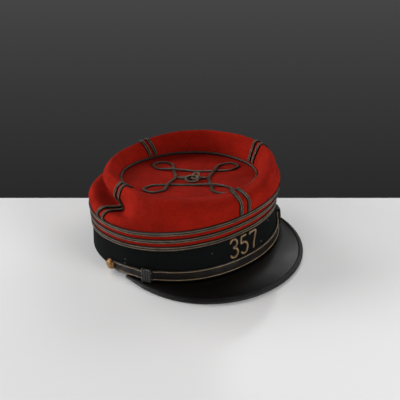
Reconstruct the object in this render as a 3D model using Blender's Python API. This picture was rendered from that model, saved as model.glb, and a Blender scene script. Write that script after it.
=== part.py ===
import math

import bpy
import numpy as np

# Officer's kepi, in metres, +Z up. It is modelled in the frame of its band: the front faces -Y, the
# wearer's right is -X, and the band's bottom edge lies near Z = 0. An empty then tips the whole cap
# back until the peak's bound edge and the rear of the band touch the plane Z = 0.

# Band
band_half_length = 0.094
band_half_width = 0.097
plan_fullness = 2.15
band_height = 0.0288
band_front_rise = 0.0066
band_front_dip = 0.0050
band_top_inset = 0.0018
band_thickness = 0.0024

# Crown
cloth_thickness = 0.0020
crown_height = 0.084
crown_flare = 0.0030
braid_zone_height = 0.0220
fold_depth = 0.0240
seam_half_length = 0.070
seam_half_width = 0.071
seam_shift_forward = 0.003
seam_shift_left = 0.0075
seam_depth = 0.020
top_slope_left = 0.10
top_slope_rear = 0.06
top_thickness = 0.0020
seam_cord_diameter = 0.0026

# Braids, knot and numerals
rank_braid_count = 3
rank_braid_width = 0.0050
rank_braid_pitch = 0.0093
quarter_braid_width = 0.0042
braid_thickness = 0.0013
knot_arm = 0.060
knot_loop_width = 0.0095
knot_pinch = 0.86
knot_cord_width = 0.0030
knot_cord_thickness = 0.0012
knot_shift_forward = 0.0085
knot_shift_left = 0.007
knot_turn_deg = 1.0
numeral_height = 0.0205
numeral_pitch = 0.0132
numeral_base_height = 0.0100
numeral_stroke = 0.0030
numeral_relief = 0.0011

# Peak
peak_reach = 0.0374
peak_corner_reach = 0.0026
peak_taper = 1.25
peak_drop = 0.0165
peak_half_angle_deg = 77.0
peak_camber = 0.0035
peak_thickness = 0.0022
binding_depth = 0.0042
binding_lip = 0.0008
binding_share = 0.29

# Chin strap, slides and buttons
strap_width = 0.0120
strap_thickness = 0.0016
strap_rise = 0.0013
strap_end_drop = 0.0035
strap_level_deg = 68.0
tab_width = 0.0106
tab_end_width = 0.0090
slide_angle_deg = 62.0
slide_length = 0.0085
slide_thickness = 0.0011
button_angle_deg = 90.0
button_radius = 0.0056
button_rise = 0.0050
button_shank_radius = 0.0018
button_rim = 0.0012

# Fits
clearance = 0.0003
fold_clearance = 0.0006
floor_press = 0.0004

# Resolution of the round pieces
station_count = 60
peak_station_count = 31
button_sides = 18

# The folds of the crown, one row for each direction. Angles run from the front towards the wearer's
# right. Insets are shares of fold_depth, measured inwards from the band's outline, and heights are
# shares of the crown's height above the braids.
fold_columns = ("angle", "flare", "nose", "nose_height", "shoulder", "shoulder_height", "crease",
                "crease_height", "roll", "roll_height", "crest", "crest_height")
fold_table = (
    (0, 1.00, -0.12, 0.330, -0.15, 0.460, -0.13, 0.560, -0.04, 0.650, 0.15, 0.730),
    (40, 1.00, -0.12, 0.266, -0.12, 0.460, -0.08, 0.625, 0.05, 0.815, 0.32, 0.950),
    (66, 1.00, -0.14, 0.190, -0.10, 0.342, 0.04, 0.545, 0.25, 0.823, 0.52, 1.000),
    (80, 0.80, -0.16, 0.114, -0.02, 0.266, 0.45, 0.241, 0.62, 0.646, 0.86, 0.924),
    (96, 0.40, -0.09, 0.089, 0.12, 0.190, 1.04, 0.064, 0.81, 0.519, 1.08, 0.823),
    (120, -0.25, 0.00, 0.114, 0.20, 0.317, 0.98, 0.190, 0.71, 0.620, 1.00, 0.873),
    (150, -0.20, 0.04, -0.012, 0.22, 0.190, 0.88, 0.140, 0.67, 0.646, 0.96, 0.899),
    (180, 0.20, 0.02, 0.114, 0.15, 0.266, 0.79, 0.216, 0.67, 0.646, 0.96, 0.899),
    (215, 0.80, -0.12, 0.190, 0.00, 0.367, 0.67, 0.342, 0.60, 0.696, 0.90, 0.924),
    (250, 1.00, -0.15, 0.216, -0.04, 0.393, 0.40, 0.443, 0.38, 0.722, 0.68, 0.924),
    (282, 1.00, -0.17, 0.241, -0.08, 0.418, 0.15, 0.545, 0.10, 0.747, 0.36, 0.949),
    (315, 1.20, -0.19, 0.266, -0.14, 0.469, 0.00, 0.620, 0.00, 0.798, 0.22, 0.949),
    (340, 1.00, -0.15, 0.310, -0.15, 0.465, -0.12, 0.570, -0.04, 0.665, 0.17, 0.750),
)

# The quarter braids, by the direction in which they climb the crown.
quarter_angles = {"front": 0.0, "right": 96.0, "rear": 186.0, "left": 288.0}

# Strokes of the numerals, as shares of numeral_height: across, up.
numeral_strokes = {
    "3": ((-0.20, 0.80), (-0.12, 0.96), (0.06, 0.99), (0.20, 0.86), (0.17, 0.64), (-0.01, 0.54),
          (0.17, 0.44), (0.22, 0.22), (0.07, 0.04), (-0.13, 0.05), (-0.22, 0.21)),
    "5": ((0.20, 0.97), (-0.04, 0.97), (-0.14, 0.95), (-0.16, 0.84), (-0.18, 0.62), (0.00, 0.63),
          (0.18, 0.52), (0.21, 0.27), (0.08, 0.05), (-0.11, 0.04), (-0.22, 0.18)),
    "7": ((-0.22, 0.84), (-0.20, 0.96), (-0.05, 0.97), (0.14, 0.97), (0.22, 0.92), (0.14, 0.66),
          (0.03, 0.36), (-0.02, 0.03)),
}
numeral_order = ("3", "5", "7")

# A flat two-ribbed braid, as shares of its width and its thickness.
braid_section = ((-0.50, 0.0), (0.50, 0.0), (0.30, 1.0), (0.0, 0.55), (-0.30, 1.0))
# A flat strip with square edges.
flat_section = ((-0.50, 0.0), (0.50, 0.0), (0.50, 1.0), (-0.50, 1.0))

station_step = 2 * math.pi / station_count
stations = np.arange(station_count) * station_step


def clear_scene():
    for thing in list(bpy.data.objects):
        bpy.data.objects.remove(thing, do_unlink=True)


def make_material(name, colour, roughness, metallic=0.0):
    material = bpy.data.materials.new(name)
    material.use_nodes = True
    shader = material.node_tree.nodes["Principled BSDF"]
    shader.inputs["Base Color"].default_value = (*colour, 1.0)
    shader.inputs["Roughness"].default_value = roughness
    shader.inputs["Metallic"].default_value = metallic
    material.diffuse_color = (*colour, 1.0)
    return material


def add_piece(name, points, faces, material, parent):
    mesh = bpy.data.meshes.new(name)
    mesh.from_pydata([tuple(point) for point in points], [], faces)
    mesh.update()
    mesh.materials.append(material)
    mesh.shade_smooth()
    mesh.set_sharp_from_angle(angle=math.radians(40))
    piece = bpy.data.objects.new(name, mesh)
    piece.parent = parent
    bpy.context.scene.collection.objects.link(piece)
    return piece


def add_thickness(piece, thickness):
    solidify = piece.modifiers.new("Thickness", "SOLIDIFY")
    solidify.thickness = thickness
    solidify.offset = -1.0
    solidify.use_even_offset = True
    return piece


def unit(vectors):
    return vectors / np.linalg.norm(vectors, axis=-1, keepdims=True)


def outward(angles):
    return np.stack([-np.sin(angles), -np.cos(angles), np.zeros_like(angles)], axis=-1)


def outline_radius(angles, half_length, half_width):
    length_part = (np.abs(np.cos(angles)) / half_length) ** plan_fullness
    width_part = (np.abs(np.sin(angles)) / half_width) ** plan_fullness
    return (length_part + width_part) ** (-1 / plan_fullness)


def column_around(name, angles):
    # A fold column as a smooth periodic curve through its rows.
    index = fold_columns.index(name)
    knots = np.array([math.radians(row[0]) for row in fold_table])
    values = np.array([row[index] for row in fold_table])
    knots = np.concatenate([knots[-2:] - 2 * math.pi, knots, knots[:2] + 2 * math.pi])
    values = np.concatenate([values[-2:], values, values[:2]])
    slopes = np.zeros_like(values)
    slopes[1:-1] = (values[2:] - values[:-2]) / (knots[2:] - knots[:-2])
    turned = np.mod(angles, 2 * math.pi)
    left = np.searchsorted(knots, turned, side="right") - 1
    width = knots[left + 1] - knots[left]
    share = (turned - knots[left]) / width
    return ((1 + 2 * share) * (1 - share) ** 2 * values[left]
            + share * (1 - share) ** 2 * width * slopes[left]
            + share ** 2 * (3 - 2 * share) * values[left + 1]
            + share ** 2 * (share - 1) * width * slopes[left + 1])


def smooth_points(controls, between, closed=False):
    # Centripetal Catmull-Rom curve through the controls, with a number of points between each two.
    controls = np.asarray(controls, dtype=float)
    if closed:
        padded = np.concatenate([controls[-1:], controls, controls[:2]])
    else:
        first = 2 * controls[:1] - controls[1:2]
        last = 2 * controls[-1:] - controls[-2:-1]
        padded = np.concatenate([first, controls, last])
    spans = len(padded) - 3
    counts = [between] * spans if np.isscalar(between) else list(between)
    curve = []
    for index in range(spans):
        a, b, c, d = padded[index:index + 4]
        knot_1 = np.linalg.norm(b - a, axis=-1, keepdims=True) ** 0.5
        knot_2 = knot_1 + np.linalg.norm(c - b, axis=-1, keepdims=True) ** 0.5
        knot_3 = knot_2 + np.linalg.norm(d - c, axis=-1, keepdims=True) ** 0.5
        for step in range(counts[index] + 1):
            place = knot_1 + (knot_2 - knot_1) * step / (counts[index] + 1)
            ab = a + (b - a) * place / knot_1
            bc = b + (c - b) * (place - knot_1) / (knot_2 - knot_1)
            cd = c + (d - c) * (place - knot_2) / (knot_3 - knot_2)
            abc = ab + (bc - ab) * place / knot_2
            bcd = bc + (cd - bc) * (place - knot_1) / (knot_3 - knot_1)
            curve.append(abc + (bcd - abc) * (place - knot_1) / (knot_2 - knot_1))
    if not closed:
        curve.append(controls[-1])
    return np.array(curve)


def floor_height(y):
    # The plane that the cap rests on, seen from the band's frame.
    return floor_press - rest_slope * (band_half_length - y)


def pressed_flat(points):
    points = np.array(points)
    points[:, 2] = np.maximum(points[:, 2], floor_height(points[:, 1]))
    return points


def band_bottom(angles):
    return -band_front_dip * (1 + np.cos(angles)) / 2


def joint_height(angles):
    # Where the dark band ends and the red crown begins, higher at the front than at the rear.
    radius = outline_radius(angles, band_half_length, band_half_width)
    return band_height + band_front_rise * radius * np.cos(angles) / band_half_length


def wall_point(angles, rise):
    # A point on the outer face, at a height above the joint of band and crown (below it: the band).
    angles = np.asarray(angles, dtype=float)
    rise = np.broadcast_to(np.asarray(rise, dtype=float), angles.shape)
    joint = joint_height(angles)
    band_share = -rise / (joint - band_bottom(angles))
    spread = crown_flare * column_around("flare", angles) + band_top_inset
    lean = np.where(rise < 0, -band_top_inset * (1 - band_share),
                    -band_top_inset + spread * rise / braid_zone_height)
    radius = outline_radius(angles, band_half_length, band_half_width) + lean
    point = outward(angles) * radius[..., None]
    point[..., 2] = joint + rise
    return point


def wall_normal(angles, rise):
    small = 0.2 * clearance
    along = wall_point(angles + small, rise) - wall_point(angles - small, rise)
    up = wall_point(angles, rise + small) - wall_point(angles, rise - small)
    return unit(np.cross(up, along))


def on_top(points):
    # Lifts points from Z = 0 to the plane of the seam, which falls to the left and to the rear.
    points = np.array(points, dtype=float)
    fall = top_slope_left * points[..., 0] + top_slope_rear * points[..., 1]
    points[..., 2] += crown_height - seam_depth - fall
    return points


def seam_ring(angles, grow=0.0):
    radius = outline_radius(angles, seam_half_length, seam_half_width) + grow
    ring = outward(angles) * radius[..., None] + np.array([seam_shift_left, -seam_shift_forward, 0])
    return on_top(ring)


def crown_meridians(angles):
    # The line that the crown's outer face follows in each direction: up from the band, over the
    # bulge, into the fold, over the rolled rim and down to the seam of the top.
    radius = outline_radius(angles, band_half_length, band_half_width)
    braids_top = band_height + braid_zone_height

    def at(name):
        reach = radius - fold_depth * column_around(name, angles)
        point = outward(angles) * reach[..., None]
        point[..., 2] = braids_top + (crown_height - braids_top) * column_around(name + "_height", angles)
        return point

    crest = at("crest")
    seam = seam_ring(angles)
    above_seam = seam + np.array([0, 0, seam_cord_diameter + 3 * clearance])
    inner = above_seam + (crest - above_seam) * np.array([0.42, 0.42, 0.58])
    controls = [wall_point(angles, clearance / 2), wall_point(angles, braid_zone_height),
                at("nose"), at("shoulder"), at("crease"), at("roll"), crest, inner, above_seam, seam]
    return smooth_points(controls, (0, 0, 1, 1, 1, 1, 1, 0, 0))


def grid_faces(rows, columns, closed):
    faces = []
    for row in range(rows - 1):
        for column in range(columns if closed else columns - 1):
            following = (column + 1) % columns
            faces.append((row * columns + column, row * columns + following,
                          (row + 1) * columns + following, (row + 1) * columns + column))
    return faces


def turned_faces(faces):
    return [tuple(reversed(face)) for face in faces]


def sweep(name, centres, across, up, section, width, height, material, parent, closed=False):
    # Carries a closed section along a path. Width runs along the across vectors.
    count = len(centres)
    sides = len(section)
    width = np.broadcast_to(np.asarray(width, dtype=float), (count,))
    if np.dot(np.cross(across[0], up[0]), centres[1] - centres[0]) < 0:
        section = section[::-1]
    points = []
    for side, rise in section:
        points.append(centres + across * (side * width)[:, None] + up * (rise * height))
    points = np.stack(points, axis=1).reshape(-1, 3)
    faces = []
    for index in range(count if closed else count - 1):
        here = index * sides
        there = ((index + 1) % count) * sides
        for side in range(sides):
            other = (side + 1) % sides
            faces.append((here + side, here + other, there + other, there + side))
    if not closed:
        faces.append(tuple(reversed(range(sides))))
        faces.append(tuple((count - 1) * sides + side for side in range(sides)))
    return add_piece(name, points, faces, material, parent)


def path_directions(centres, closed):
    if closed:
        ahead = np.roll(centres, -1, axis=0) - np.roll(centres, 1, axis=0)
    else:
        ahead = np.gradient(centres, axis=0)
    return unit(ahead)


def make_band(material, parent):
    depth = joint_height(stations) - clearance / 2 - band_bottom(stations)
    outer = [wall_point(stations, -clearance / 2 - share * depth) for share in (1.0, 0.5, 0.0)]
    inner = [row - outward(stations) * band_thickness for row in reversed(outer)]
    points = pressed_flat(np.concatenate(outer + inner))
    rows = len(outer + inner)
    faces = turned_faces(grid_faces(rows, station_count, True))
    for column in range(station_count):
        following = (column + 1) % station_count
        last = (rows - 1) * station_count
        faces.append((last + following, last + column, column, following))
    return add_piece("band", points, faces, material, parent)


def make_crown_wall(material, parent):
    rows = crown_meridians(stations)
    faces = turned_faces(grid_faces(len(rows), station_count, True))
    piece = add_piece("crown_wall", rows.reshape(-1, 3), faces, material, parent)
    return add_thickness(piece, cloth_thickness)


def make_crown_top(material, parent):
    rim = seam_ring(stations, cloth_thickness)
    top = rim - np.array([0, 0, top_gap])
    points = np.concatenate([top, top - np.array([0, 0, top_thickness])])
    faces = grid_faces(2, station_count, True)
    faces.append(tuple(reversed(range(station_count))))
    faces.append(tuple(range(station_count, 2 * station_count)))
    return add_piece("crown_top", points, faces, material, parent)


def make_seam_cord(material, parent):
    radius = seam_cord_diameter / 2
    centres = seam_ring(stations, -clearance - radius) + np.array([0, 0, radius])
    sides = 6
    section = [(math.cos(side * 2 * math.pi / sides), math.sin(side * 2 * math.pi / sides))
               for side in range(sides)]
    up = np.tile([0.0, 0.0, 1.0], (station_count, 1))
    return sweep("crown_seam_cord", centres, outward(stations), up, section, radius, radius,
                 material, parent, closed=True)


def make_rank_braids(material, parent):
    for level in range(rank_braid_count):
        centre = level * rank_braid_pitch
        low = wall_point(stations, centre - rank_braid_width / 2)
        high = wall_point(stations, centre + rank_braid_width / 2)
        up = unit(np.cross(high - low, np.roll(low, -1, axis=0) - np.roll(low, 1, axis=0)))
        centres = (low + high) / 2 + up * clearance
        sweep("rank_braid_%d" % (level + 1), centres, unit(high - low), up, braid_section,
              rank_braid_width, braid_thickness, material, parent, closed=True)


def make_quarter_braids(material, parent):
    for place, angle in quarter_angles.items():
        index = round(math.radians(angle) / station_step)
        for number, side in ((1, -1), (2, 1)):
            sides = np.array([index, index + side]) * station_step
            lines = crown_meridians(sides)[1:-1]
            centre = lines.mean(axis=1)
            across = unit(lines[:, 1] - lines[:, 0]) * side
            ahead = path_directions(centre, False)
            up = unit(np.cross(ahead, across))
            across = unit(np.cross(up, ahead))
            turn = np.ones(len(centre))
            steps = unit(np.diff(centre, axis=0))
            half_turn = np.arccos(np.clip((steps[1:] * steps[:-1]).sum(axis=1), -1, 1)) / 2
            turn[1:-1] = 1 / np.cos(half_turn)
            base = centre + up * (fold_clearance * turn)[:, None]
            sweep("quarter_braid_%s_%d" % (place, number), base, across, up, braid_section,
                  quarter_braid_width, braid_thickness, material, parent)


def knot_frame(points):
    # From the knot's own plane, tip of the front loop along +u, to the top of the crown.
    turn = math.radians(knot_turn_deg)
    u, v, rise = points[:, 0], points[:, 1], points[:, 2]
    forward = u * math.cos(turn) + v * math.sin(turn)
    left = v * math.cos(turn) - u * math.sin(turn)
    return on_top(np.stack([knot_shift_left + left, -knot_shift_forward - forward,
                            rise + clearance - top_gap], axis=1))


def knot_strand(name, points, material, parent):
    centres = knot_frame(points)
    ahead = path_directions(centres, True)
    up = np.tile(unit(np.array([top_slope_left, top_slope_rear, 1.0])), (len(centres), 1))
    across = unit(np.cross(ahead, up))
    sweep(name, centres, across, up, braid_section, knot_cord_width, knot_cord_thickness,
          material, parent, closed=True)


def make_knot(material, parent):
    # One strand runs round a square and swings out in a loop at each corner, where it passes over
    # itself. A long loop lies across the middle and a ring binds it.
    step_over = knot_cord_thickness + clearance
    corner = 0.52 * knot_arm
    half_side = 0.34 * knot_arm
    controls = []
    for quarter in range(4):
        turn = quarter * math.pi / 2
        side = half_side * (knot_pinch if quarter % 2 else 1.0)
        outline = (
            (side * math.cos(-math.pi / 4), side * math.sin(-math.pi / 4), 0.0),
            (corner, 0.0, step_over),
            (0.76 * knot_arm, knot_loop_width, 0.0),
            (0.95 * knot_arm, 0.72 * knot_loop_width, 0.0),
            (knot_arm, 0.0, 0.0),
            (0.95 * knot_arm, -0.72 * knot_loop_width, 0.0),
            (0.76 * knot_arm, -knot_loop_width, 0.0),
            (corner, 0.0, 0.0),
        )
        for u, v, rise in outline:
            controls.append((u * math.cos(turn) - v * math.sin(turn),
                             u * math.sin(turn) + v * math.cos(turn), rise))
    knot_strand("knot_loops", smooth_points(controls, 1, closed=True), material, parent)

    turns = np.arange(16) * 2 * math.pi / 16
    reach = knot_pinch * half_side - knot_cord_width - 2 * clearance
    long_u = reach * np.cos(turns)
    long_v = 0.9 * knot_cord_width * np.sin(turns)
    slant = math.pi / 4
    bar = np.stack([long_u * math.cos(slant) - long_v * math.sin(slant),
                    long_u * math.sin(slant) + long_v * math.cos(slant), 0 * turns], axis=1)
    knot_strand("knot_bar", bar, material, parent)

    radius = 0.15 * knot_arm
    ring = np.stack([radius * np.cos(turns), radius * np.sin(turns), 0 * turns + step_over], axis=1)
    knot_strand("knot_ring", ring, material, parent)


def make_numerals(material, parent):
    front_radius = outline_radius(np.array([0.0]), band_half_length, band_half_width)[0]
    middle = (len(numeral_order) - 1) / 2
    for index, digit in enumerate(numeral_order):
        controls = np.array(numeral_strokes[digit]) * numeral_height
        line = smooth_points(controls, 1)
        ahead = path_directions(line, False)
        side = np.stack([ahead[:, 1], -ahead[:, 0]], axis=1)

        def on_band(flat):
            angles = -((index - middle) * numeral_pitch + flat[:, 0]) / front_radius
            rise = numeral_base_height + flat[:, 1] - joint_height(angles)
            return wall_point(angles, rise), wall_normal(angles, rise)

        low, _ = on_band(line - side * numeral_stroke / 2)
        high, _ = on_band(line + side * numeral_stroke / 2)
        _, up = on_band(line)
        across = unit(high - low)
        centres = (low + high) / 2 + up * 1.5 * clearance
        sweep("numeral_%d" % (index + 1), centres, across, up, flat_section, numeral_stroke,
              numeral_relief, material, parent)


def peak_angles():
    return np.linspace(-1, 1, peak_station_count) * math.radians(peak_half_angle_deg)


def peak_edge(angles):
    # The peak's outer edge: it lies on the floor in front and rises to its corners.
    share = np.abs(angles) / math.radians(peak_half_angle_deg)
    fullness = np.maximum(np.cos(math.pi / 2 * share), 0.0) ** peak_taper
    radius = outline_radius(angles, band_half_length, band_half_width)
    point = outward(angles) * (radius + peak_corner_reach + peak_reach * fullness)[..., None]
    resting = floor_height(point[..., 1]) - floor_press + edge_lift
    climb = np.clip((share - 0.55) / 0.45, 0, 1) ** 2
    top = band_bottom(angles) - 2 * clearance - 0.5 * peak_thickness
    point[..., 2] = resting + (top - resting) * climb
    return point


def peak_surface():
    angles = peak_angles()
    root_z = band_bottom(angles) - clearance
    hidden = wall_point(angles, band_bottom(angles) - joint_height(angles))
    inner = hidden - outward(angles) * (0.8 * band_thickness)
    outer = hidden + outward(angles) * (1.5 * clearance)
    inner[:, 2] = root_z
    outer[:, 2] = root_z
    edge = peak_edge(angles)
    share = np.abs(angles) / math.radians(peak_half_angle_deg)
    camber = peak_camber * np.maximum(np.cos(math.pi / 2 * share), 0)
    rows = [inner, outer]
    for along in (0.35, 0.7, 1.0):
        row = outer + (edge - outer) * along
        row[:, 2] += camber * 4 * along * (1 - along)
        rows.append(row)
    return rows


def make_peak(material, parent):
    rows = peak_surface()
    faces = grid_faces(len(rows), peak_station_count, False)
    piece = add_piece("peak", np.concatenate(rows), faces, material, parent)
    return add_thickness(piece, peak_thickness)


def make_peak_binding(material, parent):
    rows = peak_surface()
    edge = rows[-1]
    along = path_directions(edge, False)
    out = unit(edge - rows[-2])
    up = unit(np.cross(along, out))
    up = up * np.sign(up[:, 2:3])
    out = unit(out - along * (out * along).sum(axis=1, keepdims=True))
    slot = peak_thickness / 2 + clearance
    tall = slot + binding_lip
    soft = tall - 0.6 * binding_lip
    depth = np.minimum(binding_depth, binding_share * np.linalg.norm(edge - rows[1], axis=1))
    front = clearance + binding_lip
    corners = ((-depth, -tall), (front, -soft), (front, soft), (-depth, tall),
               (-depth, slot), (clearance, slot), (clearance, -slot), (-depth, -slot))
    centres = edge - up * (peak_thickness / 2)
    points = []
    for reach, rise in corners:
        points.append(centres + out * np.broadcast_to(reach, depth.shape)[:, None] + up * rise)
    points = pressed_flat(np.stack(points, axis=1).reshape(-1, 3))
    sides = len(corners)
    faces = grid_faces(len(centres), sides, True)
    faces.append(tuple(reversed(range(sides))))
    faces.append(tuple(range(len(points) - sides, len(points))))
    return add_piece("peak_binding", points, faces, material, parent)


def strap_offset(angles):
    # The strap lies on the band and lifts where a slide passes behind it.
    lift = slide_thickness + 1.5 * clearance
    near = (np.abs(angles) - math.radians(slide_angle_deg)) / (2.5 * slide_half_angle())
    return clearance + lift * np.exp(-near ** 4)


def strap_height(angles):
    # The strap runs level over the peak, then falls towards its buttons behind the peak's corners.
    level = math.radians(strap_level_deg)
    past = np.clip((np.abs(angles) - level) / (math.radians(button_angle_deg) - level), 0, 1)
    drop = strap_end_drop * past ** 2 * (3 - 2 * past)
    return band_bottom(angles) + strap_width / 2 + strap_rise - drop


def strap_line(angles, offset):
    rise = strap_height(angles) - joint_height(angles)
    normal = wall_normal(angles, rise)
    centres = wall_point(angles, rise) + normal * offset[:, None]
    ahead = path_directions(centres, False)
    return centres, unit(np.cross(normal, ahead)), normal


def slide_half_angle():
    return slide_length / 2 / band_half_width


def make_strap(material, parent):
    end = math.radians(slide_angle_deg) + slide_half_angle() * 1.6
    angles = np.linspace(-end, end, 35)
    centres, across, normal = strap_line(angles, strap_offset(angles))
    sweep("chin_strap", centres, across, normal, flat_section, strap_width, strap_thickness,
          material, parent)


def make_strap_tabs(material, parent):
    over = strap_thickness + clearance
    start = math.radians(slide_angle_deg) - slide_half_angle() * 1.4
    shank = (button_shank_radius + 2 * clearance) / band_half_width
    finish = math.radians(button_angle_deg) - shank
    for place, side in (("right", 1), ("left", -1)):
        share = np.linspace(0, 1, 11)
        angles = side * (start + (finish - start) * share)
        settle = np.clip((share - 0.45) / 0.35, 0, 1)
        drop = over * (settle ** 2 * (3 - 2 * settle))
        centres, across, normal = strap_line(angles, strap_offset(angles) + over - drop)
        width = tab_width + (tab_end_width - tab_width) * share ** 2
        sweep("strap_tab_" + place, centres, across * side, normal, flat_section, width,
              strap_thickness, material, parent)


def make_slides(material, parent):
    corner = 0.5 * slide_thickness
    half_tall = strap_width / 2 + clearance + corner / 2
    deep = 2 * strap_thickness + 4 * clearance
    loop = ((-half_tall + corner, 0.0), (half_tall - corner, 0.0), (half_tall, corner),
            (half_tall, deep - corner), (half_tall - corner, deep), (-half_tall + corner, deep),
            (-half_tall, deep - corner), (-half_tall, corner))
    loop = np.array(loop)
    ahead = path_directions(loop, True)
    out = np.stack([ahead[:, 1], -ahead[:, 0]], axis=1)
    for place, side in (("right", 1), ("left", -1)):
        angles = side * np.array([math.radians(slide_angle_deg) - 0.01,
                                  math.radians(slide_angle_deg), math.radians(slide_angle_deg) + 0.01])
        centres, across, normal = strap_line(angles, strap_offset(angles) - 1.5 * clearance)
        centre, tall, lift = centres[1], across[1], normal[1]
        along = unit(np.cross(tall, lift))
        points = centre + loop[:, :1] * tall + loop[:, 1:] * lift
        away = out[:, :1] * tall + out[:, 1:] * lift
        across_strap = np.tile(along, (len(loop), 1))
        sweep("strap_slide_" + place, points, across_strap, away, flat_section, slide_length,
              slide_thickness, material, parent, closed=True)


def make_buttons(material, parent):
    seat = 2 * clearance + strap_thickness
    dome = [(button_radius * math.cos(step), seat + button_rim + (button_rise - button_rim) * math.sin(step))
            for step in np.linspace(0, 0.42 * math.pi, 5)]
    profile = [(button_shank_radius, clearance), (button_shank_radius, seat),
               (0.92 * button_radius, seat), *dome]
    turns = np.arange(button_sides) * 2 * math.pi / button_sides
    for place, side in (("right", 1), ("left", -1)):
        angle = np.array([side * math.radians(button_angle_deg)])
        rise = strap_height(angle) - joint_height(angle)
        centre = wall_point(angle, rise)[0]
        axis = wall_normal(angle, rise)[0]
        tangent = unit(np.cross(axis, [0.0, 0.0, 1.0]))
        other = np.cross(axis, tangent)
        points = []
        for radius, lift in profile:
            ring = np.cos(turns)[:, None] * tangent + np.sin(turns)[:, None] * other
            points.append(centre + axis * lift + ring * radius)
        points = np.concatenate(points)
        faces = grid_faces(len(profile), button_sides, True)
        faces.append(tuple(reversed(range(button_sides))))
        faces.append(tuple(range(len(points) - button_sides, len(points))))
        add_piece("button_" + place, points, faces, material, parent)


# The gap under the crown's inner edge, wider where the top rises towards it.
top_gap = clearance + cloth_thickness * math.hypot(top_slope_left, top_slope_rear)

# How far the peak's upper edge line stays above the floor, and how much the floor slopes.
edge_lift = peak_thickness + clearance + binding_lip
peak_front = -(outline_radius(np.array([0.0]), band_half_length, band_half_width)[0]
               + peak_corner_reach + peak_reach)
rest_slope = peak_drop / (band_half_length - peak_front)


def centre_on_origin(cap):
    # Slides the cap over the floor until the box round its pieces stands centred on the origin.
    bpy.context.view_layer.update()
    shaped = bpy.context.evaluated_depsgraph_get()
    points = []
    for piece in cap.children:
        mesh = piece.evaluated_get(shaped).to_mesh()
        for vertex in mesh.vertices:
            points.append(piece.matrix_world @ vertex.co)
    points = np.array(points)
    low, high = points.min(axis=0), points.max(axis=0)
    cap.location.x -= (low[0] + high[0]) / 2
    cap.location.y -= (low[1] + high[1]) / 2
    cap.location.z -= low[2]


def main():
    clear_scene()
    red_cloth = make_material("red_cloth", (0.36, 0.022, 0.012), 0.95)
    dark_cloth = make_material("dark_cloth", (0.010, 0.013, 0.016), 0.95)
    braid = make_material("tarnished_braid", (0.24, 0.21, 0.13), 0.55, 0.4)
    gold_thread = make_material("gold_thread", (0.50, 0.36, 0.16), 0.5, 0.5)
    patent_leather = make_material("patent_leather", (0.020, 0.017, 0.016), 0.25)
    strap_leather = make_material("strap_leather", (0.060, 0.036, 0.020), 0.5)
    brass = make_material("brass", (0.66, 0.46, 0.20), 0.35, 1.0)

    cap = bpy.data.objects.new("cap_at_rest", None)
    bpy.context.scene.collection.objects.link(cap)
    tip = math.atan(rest_slope)
    cap.rotation_euler = (-tip, 0.0, 0.0)
    ground = floor_press - rest_slope * band_half_length
    cap.location = (0.0, -ground * math.sin(tip), -ground * math.cos(tip))

    make_band(dark_cloth, cap)
    make_crown_wall(red_cloth, cap)
    make_crown_top(red_cloth, cap)
    make_seam_cord(braid, cap)
    make_rank_braids(braid, cap)
    make_quarter_braids(braid, cap)
    make_knot(braid, cap)
    make_numerals(gold_thread, cap)
    make_peak(patent_leather, cap)
    make_peak_binding(strap_leather, cap)
    make_strap(strap_leather, cap)
    make_strap_tabs(strap_leather, cap)
    make_slides(strap_leather, cap)
    make_buttons(brass, cap)
    centre_on_origin(cap)


main()
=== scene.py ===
import math

import bpy
import numpy as np
from mathutils import Matrix, Vector


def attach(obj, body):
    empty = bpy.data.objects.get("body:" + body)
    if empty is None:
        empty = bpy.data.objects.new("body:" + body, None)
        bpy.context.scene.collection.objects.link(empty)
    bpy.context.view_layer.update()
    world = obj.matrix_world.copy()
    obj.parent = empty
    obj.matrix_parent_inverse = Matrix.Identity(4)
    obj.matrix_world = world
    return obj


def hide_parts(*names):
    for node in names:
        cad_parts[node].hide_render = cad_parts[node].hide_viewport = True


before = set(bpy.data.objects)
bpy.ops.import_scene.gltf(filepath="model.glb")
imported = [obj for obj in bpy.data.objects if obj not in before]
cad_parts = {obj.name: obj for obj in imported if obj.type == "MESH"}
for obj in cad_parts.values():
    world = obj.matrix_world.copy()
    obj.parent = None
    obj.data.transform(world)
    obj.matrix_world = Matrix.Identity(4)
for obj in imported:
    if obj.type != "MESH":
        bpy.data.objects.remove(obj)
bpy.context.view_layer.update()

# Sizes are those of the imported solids, in metres, unless a note says otherwise. Heights are measured
# above the band's bottom edge, angles run from the front of the cap towards the wearer's right.
fit = {
    "clearance": 0.0003,
    "floorPress": 0.0004,
    "shiftBack": 0.018207,  # these two stand the box round the cap on the origin
    "shiftUp": 0.006386,
}


def unit(vectors):
    # each vector divided by its own length
    return vectors / np.linalg.norm(vectors, axis=-1, keepdims=True)


def outward(angles):
    # level unit vectors away from the middle: minus sine and minus cosine of the angle
    return np.stack([-np.sin(angles), -np.cos(angles), np.zeros_like(angles)], axis=-1)


def fullTurn(count):
    # angles at even steps round a full turn
    return np.arange(count) * 2 * math.pi / count


band = {
    "halfLength": 0.094,
    "halfWidth": 0.097,
    "fullness": 2.15,
    "height": 0.0288,
    "frontRise": 0.0066,
    "frontDip": 0.0050,
    "topInset": 0.0018,
    "thickness": 0.0024,
}


def ovalRadius(angles, halfLength, halfWidth):
    # (|cos| / length)^n + (|sin| / width)^n, to the power of -1 / n
    n = band["fullness"]
    return ((np.abs(np.cos(angles)) / halfLength) ** n
            + (np.abs(np.sin(angles)) / halfWidth) ** n) ** (-1 / n)


def bandRadius(angles):
    # the band's oval seen from above
    return ovalRadius(angles, band["halfLength"], band["halfWidth"])


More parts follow.
